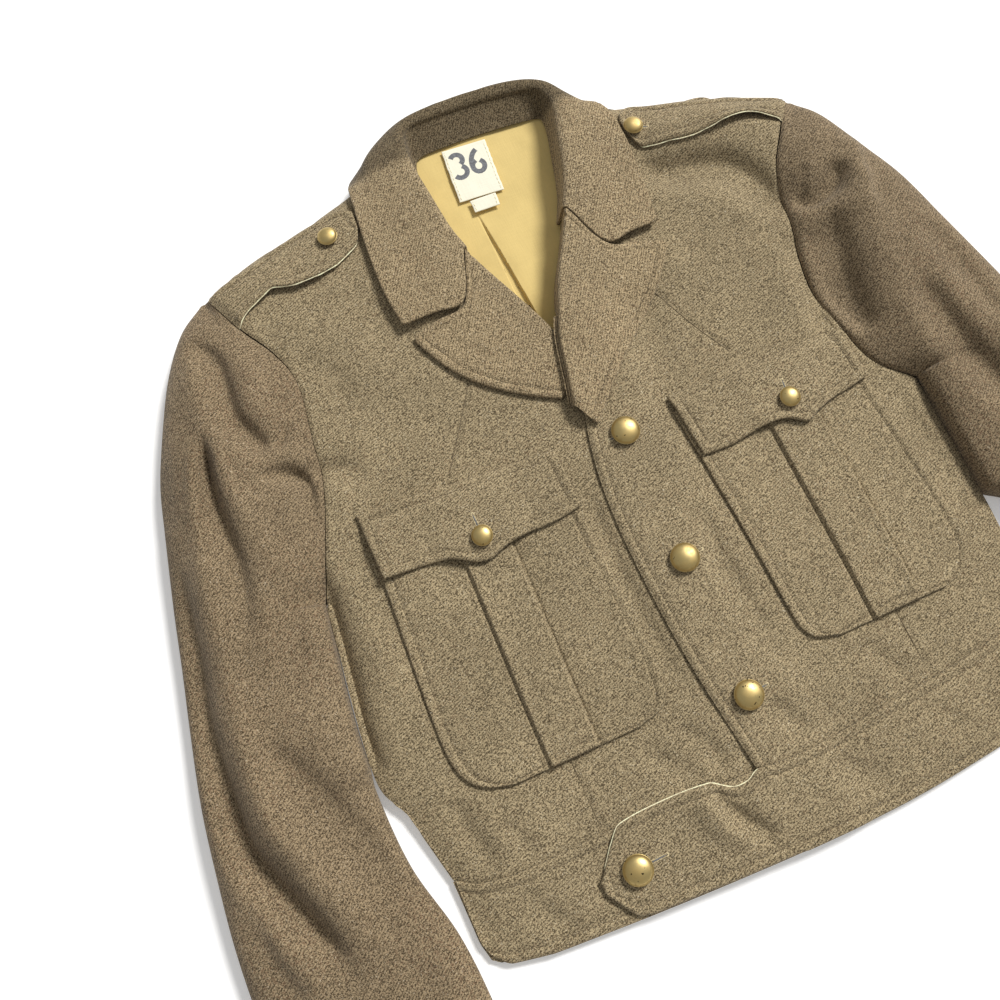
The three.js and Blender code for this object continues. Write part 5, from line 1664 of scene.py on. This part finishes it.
def leaf_rest(hand, x, y):
    """Height at which a folded leaf lies on a front. Past the shoulder it hangs free."""
    face = lambda px, py: front_top(hand, px, py)
    edge = BACK_TOP.read("x", x, "y") - LEAF_TURN
    on_body = np.minimum(y, edge)
    thickness = (LEAF_GAP + size_of("doubled_wool")) * slope_factor(face, x, on_body)
    return mix(face(x, on_body) + thickness, 0, ramp(y, edge, edge + LEAF_FALL))


def section_shares():
    """Shares over a folded section, close together at the roll and at the outer edge."""
    stand = np.linspace(0, 2 / SPANS, 10)
    roll = np.linspace(2 / SPANS, 4 / SPANS, 14)
    leaf = np.linspace(4 / SPANS, 6 / SPANS, 26)
    edge = mix(6 / SPANS, 1, 1 - (1 - np.linspace(0, 1, 18)) ** 1.7)
    return np.concatenate([stand, roll[1:], leaf[1:], edge[1:]])


def leaf_roundness(across):
    """How round the ends of a leaf are: nearly square at the seam, full past the notch."""
    return mix(SEAM_ROUND, size_of("doubled_wool") / 2, ramp(across, *NOTCH_SHARES))[None]


def leaf_relief(sides, dents):
    """Stitched edges of a leaf, and soft dents in it."""

    def relief(distances, grid):
        inset = size_of("stitch_inset")
        height = hem_profile(edge_distance(distances, sides), inset)
        for x, y, radius, depth in dents:
            height = height - depth * bump(np.hypot(grid[..., 0] - x, grid[..., 1] - y), radius)
        return height + 0.22 * lumps(grid[..., 0], grid[..., 1], 24, 21)

    return relief


def make_lapel(hand):
    v = close_shares(LAPEL_LENGTH, size_of("cut"), ends=(True, False))
    row = LAPELS[hand].at(v)
    rest = lambda x, y: leaf_rest(hand, x, y)
    height = rest(row["roll_x"], row["roll_y"])
    foot = np.full(len(v), float(LAPEL_FOOT))
    if hand == "left":
        crossing = ramp(row["roll_y"], CROSSING_FOOT["from"], CROSSING_FOOT["to"])
        foot = mix(foot, height - CROSSING_FOOT["below"], crossing)
    row["neck_x"] = row["roll_x"] + (1 if hand == "right" else -1)
    row["neck_y"] = row["roll_y"] + 1
    row["neck_z"] = foot
    row["roll_z"] = height + LAPEL_ROLL_RISE
    row["edge_z"] = rest(row["edge_x"], row["edge_y"])
    across = section_shares()
    grid = folded_grid(row, rest, across)
    grid = round_corner(grid, "first_row", "last_column", LAPEL_TIP)
    cloth = shell(
        "lapel_" + hand, grid, size_of("doubled_wool"), finish_named("collar_wool"),
        relief=leaf_relief(("last_column", "first_row"), LAPEL_DENTS[hand]),
        round_sides=("last_column", "first_row"), up_share=0.75, radius=leaf_roundness(across),
    )
    topstitch(cloth, ("last_column",), finish_named("wool_thread"))


def stand_pleats(grid, across):
    """How deep the pleats of the stand are at each point of the collar."""
    x, y = grid[..., 0], grid[..., 1]
    high = ramp(y, 386, 400) * ramp(across[None], 4.4 / SPANS, 3.2 / SPANS)
    pulls = sum(
        2 * depth * bump(x - place - 0.12 * (y - 400), width)
        for place, width, depth in STAND_PLEATS
    )
    return high * pulls


def make_collar():
    rest = lambda x, y: np.where(x < BODY_MIDDLE, leaf_rest("right", x, y), leaf_rest("left", x, y))
    rows = close_shares(COLLAR_LENGTH, size_of("cut"))
    across = section_shares()
    grid = folded_grid(COLLAR.at(rows), rest, across)
    for side in ("first_row", "last_row"):
        grid = round_corner(grid, side, "last_column", COLLAR_TIP)
    pleats = stand_pleats(grid, across)
    sides = ("last_column", "first_row", "last_row")
    edges = leaf_relief(sides, COLLAR_DENTS)
    cloth = shell(
        "collar", grid, size_of("doubled_wool"), finish_named("collar_wool"),
        relief=lambda distances, points: edges(distances, points) - pleats,
        round_sides=sides, up_share=0.75, radius=leaf_roundness(across),
    )
    topstitch(cloth, ("last_column",), finish_named("wool_thread"))


def pleat_side(hand, x, y):
    """Distance out from the edge of the box pleat, negative on the pleat."""
    pleat = PLEATS[hand]
    middle = mix(pleat["top"], pleat["foot"], ramp(y, 100, -96))
    return np.abs(x - middle) - pleat["width"] / 2


def pocket_foot(hand, x, y):
    """Height on which a pocket lies, just above its front."""
    return front_top(hand, x, y) + REST_GAP


def pocket_top(hand, x, y):
    pleat = PLEAT_RISE * ramp(pleat_side(hand, x, y), 0.7, -0.9)
    return pocket_foot(hand, x, y) + size_of("wool") + pleat


def make_pocket(hand):
    step = size_of("cut")
    v = close_shares(POCKET_SIZE[1], step, ends=(False, True))
    at = POCKETS[hand].at(v)
    at_pleat = (np.linspace(0.34, 0.42, 14), np.linspace(0.58, 0.66, 14))
    across = np.unique(np.concatenate([close_shares(POCKET_SIZE[0], step), *at_pleat]))
    x = mix(at["near"][:, None], at["far"][:, None], across[None])
    y = np.repeat(at["y"][:, None], len(across), axis=1)
    outward = 1 if hand == "left" else -1
    sag = 0.5 * lumps(x, y, 30, 31) + 0.2 * lumps(x, y, 12, 32)
    sides = ("last_row", "first_column", "last_column")

    def relief(distances, grid):
        edge = edge_distance(distances, sides)
        side = pleat_side(hand, x, y)
        dent = -1.0 * bump(side - 1.3, 0.9) + 0.35 * bump(side + 2.4, 1.8)
        lean = 0.5 * bump(side, 5) * np.sign(x - PLEATS[hand]["top"]) * outward
        return hem_profile(edge, size_of("stitch_inset")) + dent + lean + sag * ramp(edge, 2, 14)

    cloth = overlay(
        "pocket_" + hand, x, y, lambda px, py: pocket_foot(hand, px, py),
        lambda px, py: pocket_top(hand, px, py), finish_named("body_wool"), relief=relief,
        round_sides=sides,
    )
    topstitch(cloth, sides, finish_named("wool_thread"))


def flap_foot(hand, x, y):
    """Height on which a flap lies: the front at its top, and the pocket and pleat below."""
    on_pocket = ramp(y, FLAP_RISE_FROM, FLAP_RISE_TO)
    pleat = (PLEAT_RISE + 0.3) * ramp(pleat_side(hand, x, y), 22, 1)
    rise = (size_of("wool") + REST_GAP + pleat) * on_pocket
    return front_top(hand, x, y) + REST_GAP + rise


def flap_top(hand, x, y):
    return flap_foot(hand, x, y) + size_of("doubled_wool")


def make_flap(hand):
    step = size_of("cut")
    v = close_shares(FLAP_SIZE[1], step * 0.8)[:, None]
    at = FLAPS[hand].at(close_shares(FLAP_SIZE[0], step * 0.7))
    x = at["x"][None] + FLAP_LEAN[hand] * v
    y = mix(at["top"][None], at["foot"][None], v)
    far = np.abs(FLAPS[hand].column("x")).max()
    curl = ramp(v, 0.72, 1.0) * (0.7 + 0.8 * lumps(x, y, 22, 41))
    curl = curl + FLAP_SIDE_LIFT * ramp(np.abs(x), far - 22, far) * ramp(v, 0.05, 0.6)

    def relief(distances, grid):
        edge = hem_profile(edge_distance(distances, ALL_SIDES), size_of("stitch_inset"))
        return edge + 0.25 * lumps(x, y, 18, 42)

    cloth = overlay(
        "flap_" + hand, x, y, lambda px, py: flap_foot(hand, px, py) + curl,
        lambda px, py: flap_top(hand, px, py) + curl, finish_named("body_wool"),
        relief=relief, round_sides=ALL_SIDES,
    )
    topstitch(cloth, ALL_SIDES, finish_named("wool_thread"))


def strap_freedom(hand, x, y):
    """0 where a strap is sewn into the sleeve seam and 1 where it lies free."""
    return ramp(np.abs(ARMHOLES[hand].read("y", y, "x") - x), 0, STRAP_SEWN_IN)


def strap_foot(hand, x, y):
    return front_top(hand, x, y) + REST_GAP * strap_freedom(hand, x, y)


def strap_top(hand, x, y):
    free = strap_freedom(hand, x, y)
    return strap_foot(hand, x, y) + mix(0.2, size_of("doubled_wool"), free)


def strap_places(hand):
    """Where the points of a strap lie, and their shares up from its lower edge."""
    step = size_of("cut") * 0.8
    v = close_shares(STRAP_SIZE[1], step)[:, None]
    along = close_shares(STRAP_SIZE[0], step, ends=(True, False))
    at = STRAPS[hand].at(along)
    clear = mix(*STRAP_CLEAR, ramp(along, 0.6, 1))
    high = np.minimum(at["high"], BACK_TOP.read("x", at["x"], "y") - clear)
    y = mix(at["low"][None], high[None], v)
    seam = ARMHOLES[hand].read("y", y, "x")
    x = at["x"][None] + ramp(along, 0.72, 1)[None] * (seam - at["x"][-1])
    return x, y, v


def strap_wave(hand, x, y, v):
    """How far the free lower edge of a strap stands up."""
    place, width, height = STRAP_LIFTS[hand]
    wave = (1 - v) ** 2 * (0.5 + height * bump(x - place, width) + 0.4 * lumps(x, 0 * x, 11, 51))
    return wave * strap_freedom(hand, x, y)


def make_strap(hand):
    x, y, v = strap_places(hand)
    wave = strap_wave(hand, x, y, v)
    sides = ("first_row", "last_row", "first_column")

    def relief(distances, grid):
        edge = hem_profile(edge_distance(distances, sides), size_of("stitch_inset"))
        return (edge + 0.2 * lumps(x, y, 20, 52)) * strap_freedom(hand, x, y)

    cloth = overlay(
        "shoulder_strap_" + hand, x, y, lambda px, py: strap_foot(hand, px, py) + wave,
        lambda px, py: strap_top(hand, px, py) + wave, finish_named("body_wool"),
        relief=relief, round_sides=sides,
    )
    topstitch(cloth, sides, finish_named("wool_thread"))
    # The pale raw edge that shows under the strap's lower edge
    line = cloth.outer[0, 10:].copy()
    line[:, 1] -= 0.3 + 0.35 * lumps(line[:, 0], 0 * line[:, 0], 5, 53)
    line[:, 2] -= 0.3
    tube("raw_edge_strap_" + hand, line, RAW_EDGE, finish_named("pale_thread"))


def waist_edges(x):
    """The upper and the lower edge of the waistband."""
    return WAIST.read("x", x, "seam") - SEWN_GAP, WAIST.read("x", x, "hem")


def band_face(hand, x, y):
    face = body_top(hand, x, y) + BAND_PROUD - crease_relief(BAND_CREASES, x, y)
    return face + 0.25 * lumps(x, y, 26, 61)


def tab_face(x, y):
    """Face of the left waistband, raised where it lies over the right one."""
    lift = (REST_GAP + size_of("doubled_wool")) * ramp(x, OVERLAP_END + OVERLAP_FADE, OVERLAP_END)
    return band_face("left", x, y) + lift


def band_grid(x, high, low, rows):
    v = rows[:, None]
    return np.repeat(x[None], len(rows), axis=0), mix(high[None], low[None], v)


def band_relief(sides):
    """Stitched edges of the waistband."""

    def relief(distances, grid):
        return hem_profile(edge_distance(distances, sides), size_of("stitch_inset"))

    return relief


def make_right_band():
    along = close_shares(BAND_LENGTHS["right"], size_of("cut"))
    x = mix(WAIST.rows[0][0] + BAND_SIDE_INSET, OVERLAP_END - 8, along)
    px, py = band_grid(x, *waist_edges(x), close_shares(BAND_WIDTH, size_of("cut") * 0.8))
    grid = np.stack([px, py, band_face("right", px, py)], axis=-1)
    grid = round_corner(grid, "last_row", "first_column", BAND_CORNER)
    sides = ("first_row", "last_row")
    cloth = shell(
        "waistband_right", grid, size_of("doubled_wool"), finish_named("body_wool"),
        relief=band_relief(sides), round_sides=("last_row", "first_row", "last_column"),
        floor_at=lambda qx, qy: seam_height(qy),
    )
    topstitch(cloth, sides, finish_named("wool_thread"))


def make_left_band():
    """The left waistband with its clipped, buttoned tab."""
    along = close_shares(BAND_LENGTHS["left"], size_of("cut"))
    x = mix(TAB.rows[0][0], WAIST.rows[-1][0] - BAND_SIDE_INSET, along)
    high, low = waist_edges(x)
    tab = x < TAB.rows[-1][0]
    high = np.where(tab, TAB.read("x", x, "high"), high)
    low = np.where(tab, TAB.read("x", x, "low"), low)
    px, py = band_grid(x, high, low, close_shares(BAND_WIDTH, size_of("cut") * 0.8))
    top = ramp(py, -190, -158)
    pucker = top * (2.6 * bump(px + 62, 13) - 1.8 * bump(px + 38, 8)) * ramp(px, -100, -80)
    grid = np.stack([px, py, tab_face(px, py) + pucker], axis=-1)
    grid = round_corner(grid, "last_row", "last_column", BAND_CORNER)
    sides = ("first_row", "last_row", "first_column")
    cloth = shell(
        "waistband_left", grid, size_of("doubled_wool"), finish_named("body_wool"),
        relief=band_relief(sides), round_sides=sides, floor_at=lambda qx, qy: seam_height(qy),
    )
    topstitch(cloth, sides, finish_named("wool_thread"))
    edge = cloth.outer[0]
    shown = (edge[:, 0] > -146) & (edge[:, 0] < -16)
    line = edge[shown].copy()
    line[:, 1] += 0.2
    line[:, 2] -= 0.3
    tube("raw_edge_tab", line, RAW_EDGE, finish_named("pale_thread"))


def make_back_band():
    ends = (WAIST.rows[0][0] + BAND_SIDE_INSET, WAIST.rows[-1][0] - BAND_SIDE_INSET)
    x = mix(*ends, close_shares(BAND_LENGTHS["back"], size_of("cut") * 1.5))
    px, py = band_grid(x, *waist_edges(x), close_shares(BAND_WIDTH, size_of("cut")))
    grid = np.stack([px, py, back_foot(px, py)], axis=-1)
    for side in ("first_column", "last_column"):
        grid = round_corner(grid, "last_row", side, BAND_CORNER)
    inner = grid + normals_of(grid) * size_of("doubled_wool")
    limit = seam_height(inner[..., 1]) - SEAM_GAP / 2
    inner[..., 2] = np.maximum(np.minimum(inner[..., 2], limit), grid[..., 2])
    thing = cloth_slab("waistband_back", inner, grid, finish_named("body_wool"))
    declare(thing, grid, "waistband_back")


def lining_foot(x, y):
    """Height of the lining's underside, above the wool of the back."""
    return size_of("wool") + REST_GAP + 1.3 * back_foot(x, y)


def lining_top(x, y):
    """The lining's face, with a pleat that gapes and stands higher on its left side."""
    edge, gape, rise = (LINING_PLEAT.read("y", y, name) for name in ("x", "gape", "rise"))
    out = x - edge
    fold = rise * ramp(out, -0.4, 0.4) * ramp(out, LINING_PLEAT_WIDTH, 4)
    trough = ramp(out, -gape - 1, -gape) * ramp(out, 0.2, -0.2) * ramp(gape, 0.2, 1.5)
    sag = 0.7 * lumps(x, y, 30, 71) + 0.3 * lumps(x, y, 11, 72)
    face = lining_foot(x, y) + size_of("cotton") + fold + np.maximum(sag, -0.5)
    return face - LINING_PLEAT_DEPTH * trough


def make_lining():
    step = size_of("cut")
    at = LINING.at(even_shares(LINING_SIZE[1], step))
    u = np.unique(np.concatenate([even_shares(LINING_SIZE[0], step), np.linspace(0.26, 0.5, 80)]))
    x = mix(at["near"][:, None], at["far"][:, None], u[None])
    y = np.repeat(at["y"][:, None], len(u), axis=1)
    overlay("lining_back", x, y, lining_foot, lining_top, finish_named("neck_cotton"))


def label_spot(size, across, up):
    """A place on a label, from its middle."""
    cos, sin = math.cos(size["turn"]), math.sin(size["turn"])
    return size["x"] + across * cos - up * sin, size["y"] + across * sin + up * cos


def label_height():
    return size_of("wool") + REST_GAP + size_of("cotton") + LABEL_REST


def label_face(foot, x, y):
    ripple = 0.35 * lumps(x, y, 13, 81) + 0.15 * lumps(x, y, 6, 82)
    return foot + size_of("label_cloth") + ripple


def make_label(name, size, foot):
    down, across = (
        close_shares(size[way], LABEL_STEP, near=LABEL_PLACES) for way in ("height", "width")
    )
    v, u = np.meshgrid(down, across, indexing="ij")
    x, y = label_spot(size, (u - 0.5) * size["width"], (0.5 - v) * size["height"])
    fray = 0.35 * lumps(x, y, 2.6, 83)
    x = x + fray * (np.abs(u - 0.5) > 0.495)
    cloth = overlay(
        name, x, y, lambda px, py: label_face(foot, px, py) - size_of("label_cloth"),
        lambda px, py: label_face(foot, px, py), finish_named("label_cotton"),
        round_sides=ALL_SIDES,
    )
    topstitch(cloth, ("first_column", "last_column"), finish_named("pale_thread"), inset=2.0)


def ribbon(points, width):
    """The two long sides of a flat stroke along points."""
    points = np.asarray(points, float)
    along = np.gradient(points, axis=0)
    along /= np.linalg.norm(along, axis=1, keepdims=True)
    across = np.stack([-along[:, 1], along[:, 0]], axis=1)
    return np.stack([points + across * width / 2, points - across * width / 2], axis=1)


def arc(cx, cy, rx, ry, start, end, count=14):
    angle = np.radians(np.linspace(start, end, count))
    return np.stack([cx + rx * np.cos(angle), cy + ry * np.sin(angle)], axis=1)


# Plain stencilled figures, a 3 and a 6, as strokes in shares of a figure's height
FIGURES = {
    "three": [arc(0, 0.23, 0.2, 0.2, 150, -62), arc(0, -0.23, 0.22, 0.22, 62, -150)],
    "six": [arc(0.0, -0.2, 0.2, 0.22, 100, 420), arc(0.22, -0.16, 0.42, 0.6, 178, 108)],
}
FIGURE_HEIGHT = 25
FIGURE_STROKE = 4.2


def make_figures(foot):
    """Two generic stencilled figures on the size label."""
    pieces, faces = [], []
    for place, strokes in zip((-9.5, 6.5), FIGURES.values()):
        for stroke in strokes:
            band = ribbon(np.asarray(stroke) * FIGURE_HEIGHT, FIGURE_STROKE)
            x, y = label_spot(SIZE_LABEL, band[..., 0] + place, band[..., 1] + 7.5)
            z = label_face(foot, x, y)
            upper = np.stack([x, y, z + 0.07], axis=-1)
            lower = np.stack([x, y, z - 0.05], axis=-1)
            start = sum(len(piece) for piece in pieces)
            pieces.append(np.concatenate([upper.reshape(-1, 3), lower.reshape(-1, 3)]))
            faces.append(slab_faces(*upper.shape[:2]) + start)
    thing = new_object("label_figures", np.concatenate(pieces), np.concatenate(faces),
                       finish_named("stamp_ink"))
    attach(thing, "root")


def face_under(kind, hand):
    """The face that a button is sewn on."""
    faces = {
        "front": lambda x, y: front_top(hand, x, y),
        "tab": tab_face,
        "flap": lambda x, y: flap_top(hand, x, y),
        "strap": lambda x, y: strap_top(hand, x, y),
    }
    return faces[kind]


def face_normal(face, x, y, step):
    """The direction that a face looks in."""
    slope_x, slope_y = slopes(face, x, y, step)
    return Vector((-float(slope_x), -float(slope_y), 1)).normalized()


def button_profile(radius, dome):
    """The outline of a button from its foot to the top of its dome, as radii and heights."""
    base = SHANK_HEIGHT
    profile = [(0.0, 0.0), (SHANK_RADIUS * 0.7, 0.0), (SHANK_RADIUS * 0.7, base)]
    profile += [(radius - 1.0, base), (radius - 0.35, base + 0.15)]
    profile += [(radius, base + 0.6), (radius - 0.05, base + 1.0), (radius - 0.45, base + 1.25)]
    for k in range(1, 15):
        angle = math.pi / 2 * k / 14
        height = base + 1.2 + (dome - 1.2) * math.sin(angle)
        profile.append(((radius - 0.6) * math.cos(angle), height))
    return profile


def turned_rings(profile, sides):
    """A ring of points round an upright axis for each point of an outline."""
    angle = 2 * np.pi * np.arange(sides) / sides
    return np.concatenate([
        np.stack([r * np.cos(angle), r * np.sin(angle), np.full(sides, z)], axis=1)
        for r, z in profile
    ])


def make_button(name, hand, x, y, kind, over):
    """A domed button with a rolled rim, standing on its shank."""
    profile = button_profile(kind["radius"], kind["dome"])
    points = turned_rings(profile, BUTTON_SIDES)
    face = face_under(over, hand)
    normal = face_normal(face, x, y, kind["radius"] * 0.6)
    turn = np.array(Vector((0, 0, 1)).rotation_difference(normal).to_matrix())
    foot = np.array([x, y, float(face(x, y))]) + np.array(normal) * SEAM_GAP * 2
    points = points @ turn.T + foot
    faces = ring_faces(len(profile), BUTTON_SIDES)
    thing = new_object(name + "_dome", points, faces, finish_named("worn_brass"))
    clean(thing, sharp=50)
    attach(thing, "root")
    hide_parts(name)


def hole_stitches(face, start, out, reach):
    """Starts, ends and up directions of the worked threads beside a buttonhole."""
    across = np.array([-out[1], out[0]])
    spots = np.arange(2, reach, HOLE_STEP)
    wobble = 0.25 * lumps(spots * 9, spots, 3, 91)
    rows = []
    for side in (-1, 1):
        for spot, off in zip(spots, wobble):
            middle = start + out * spot
            rows.append((middle + side * 0.45 * across, middle + side * (1.35 + off) * across))
    for angle in np.radians(np.arange(-75, 76, 30)):
        ray = out * math.cos(angle) + across * math.sin(angle)
        rows.append((start + out * reach + 0.4 * ray, start + out * reach + 1.5 * ray))
    raised = lambda point: [*point, float(face(*point)) + 0.12]
    starts = np.array([raised(a) for a, _ in rows])
    ends = np.array([raised(b) for _, b in rows])
    ups = np.array([face_normal(face, *a, 2) for a, _ in rows])
    return starts, ends, ups


def make_buttonhole(name):
    """A buttonhole from under its button outwards: worked threads, and between them a dark spindle
    in the slit that is painted shade of the opening.
    """
    hand, x, y, _, over = BUTTONS[name]
    way, reach = BUTTONHOLES[name]
    face = face_under(over, hand)
    start = np.array([x, y], float)
    out = np.array([math.cos(math.radians(way)), math.sin(math.radians(way))])
    vertices, faces = spindles(*hole_stitches(face, start, out, reach), HOLE_THREAD)
    threads = new_object("buttonhole_" + name[7:], vertices, faces, finish_named("hole_thread"))
    # The slit's dark spindle is painted shade of the buttonhole's opening
    tip = start + out * (reach + 0.4)
    ends = [np.array([[*point, float(face(*point)) + 0.1]]) for point in (start, tip)]
    vertices, faces = spindles(*ends, np.array([face_normal(face, *tip, 2)]), HOLE_SLIT_SHADE, sides=8)
    slit = new_object("slit_" + name[7:], vertices, faces, finish_named("stamp_ink"))
    for thing in (threads, slit):
        thing.data.shade_smooth()
        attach(thing, "root")


class JACKET_OT_stage(bpy.types.Operator):
    """Sets the camera, the soft lights and the pale floor"""

    bl_idname = "jacket.stage"
    bl_label = "Stage"

    def execute(self, context):
        add_camera()
        add_floor()
        add_sun()
        world = bpy.data.worlds.new("studio")
        world.use_nodes = True
        background = world.node_tree.nodes["Background"]
        background.inputs["Color"].default_value = (1, 1, 1, 1)
        background.inputs["Strength"].default_value = ROOM_LIGHT
        context.scene.world = world
        context.scene.view_settings.view_transform = "Standard"
        return {"FINISHED"}


class JACKET_OT_back(bpy.types.Operator):
    """Lays the back and its waistband"""

    bl_idname = "jacket.back"
    bl_label = "Back"

    def execute(self, context):
        make_back()
        make_back_band()
        return {"FINISHED"}


class JACKET_OT_lining(bpy.types.Operator):
    """Lays the neck lining with its pleat and labels"""

    bl_idname = "jacket.lining"
    bl_label = "Lining and labels"

    def execute(self, context):
        make_lining()
        make_label("size_label", SIZE_LABEL, label_height())
        small_foot = label_height() + size_of("label_cloth") + SEAM_GAP
        make_label("small_label", SMALL_LABEL, small_foot)
        make_figures(label_height())
        return {"FINISHED"}


class JACKET_OT_sleeves(bpy.types.Operator):
    """Makes the under and top halves of both sleeves"""

    bl_idname = "jacket.sleeves"
    bl_label = "Sleeves"

    def execute(self, context):
        for hand in HANDS:
            make_under_sleeve(hand)
            make_top_sleeve(hand)
        return {"FINISHED"}


class JACKET_OT_fronts(bpy.types.Operator):
    """Lays both fronts with their darts and stitched edge"""

    bl_idname = "jacket.fronts"
    bl_label = "Fronts"

    def execute(self, context):
        for hand in HANDS:
            make_front(hand)
        return {"FINISHED"}


class JACKET_OT_waistband(bpy.types.Operator):
    """Makes the waistband of both fronts, with the buttoned tab"""

    bl_idname = "jacket.waistband"
    bl_label = "Waistband"

    def execute(self, context):
        make_right_band()
        make_left_band()
        return {"FINISHED"}


class JACKET_OT_collar(bpy.types.Operator):
    """Rolls the lapels and the collar"""

    bl_idname = "jacket.collar"
    bl_label = "Collar and lapels"

    def execute(self, context):
        for hand in HANDS:
            make_lapel(hand)
        make_collar()
        return {"FINISHED"}


class JACKET_OT_pockets(bpy.types.Operator):
    """Sews on the pockets with their pleats, and their flaps"""

    bl_idname = "jacket.pockets"
    bl_label = "Pockets and flaps"

    def execute(self, context):
        for hand in HANDS:
            make_pocket(hand)
            make_flap(hand)
        return {"FINISHED"}


class JACKET_OT_straps(bpy.types.Operator):
    """Sews on the shoulder straps"""

    bl_idname = "jacket.straps"
    bl_label = "Shoulder straps"

    def execute(self, context):
        for hand in HANDS:
            make_strap(hand)
        return {"FINISHED"}


class JACKET_OT_buttons(bpy.types.Operator):
    """Sews on the brass buttons and works their buttonholes"""

    bl_idname = "jacket.buttons"
    bl_label = "Buttons"

    def execute(self, context):
        for name, row in BUTTONS.items():
            make_button(name, *row)
            make_buttonhole(name)
        return {"FINISHED"}


STEPS = (
    JACKET_OT_stage, JACKET_OT_back, JACKET_OT_lining, JACKET_OT_sleeves, JACKET_OT_fronts,
    JACKET_OT_waistband, JACKET_OT_collar, JACKET_OT_pockets, JACKET_OT_straps,
    JACKET_OT_buttons,
)


class JACKET_PT_panel(bpy.types.Panel):
    """Lists the steps that make the jacket"""

    bl_idname = "JACKET_PT_panel"
    bl_label = "Wool Jacket"
    bl_space_type = "VIEW_3D"
    bl_region_type = "UI"
    bl_category = "Jacket"

    def draw(self, context):
        for step in STEPS:
            self.layout.operator(step.bl_idname)
        for group in (context.scene.jacket_sizes, context.scene.jacket_colours):
            for name in group.__annotations__:
                self.layout.prop(group, name)


CLASSES = (JacketSizes, JacketColours) + STEPS + (JACKET_PT_panel,)


def register():
    for each in CLASSES:
        bpy.utils.register_class(each)
    bpy.types.Scene.jacket_sizes = PointerProperty(type=JacketSizes)
    bpy.types.Scene.jacket_colours = PointerProperty(type=JacketColours)


def unregister():
    del bpy.types.Scene.jacket_colours
    del bpy.types.Scene.jacket_sizes
    for each in reversed(CLASSES):
        bpy.utils.unregister_class(each)


def main():
    register()
    for step in STEPS:
        getattr(bpy.ops.jacket, step.bl_idname.split(".")[1])()
    bpy.context.view_layer.update()


if __name__ == "__main__":
    main()
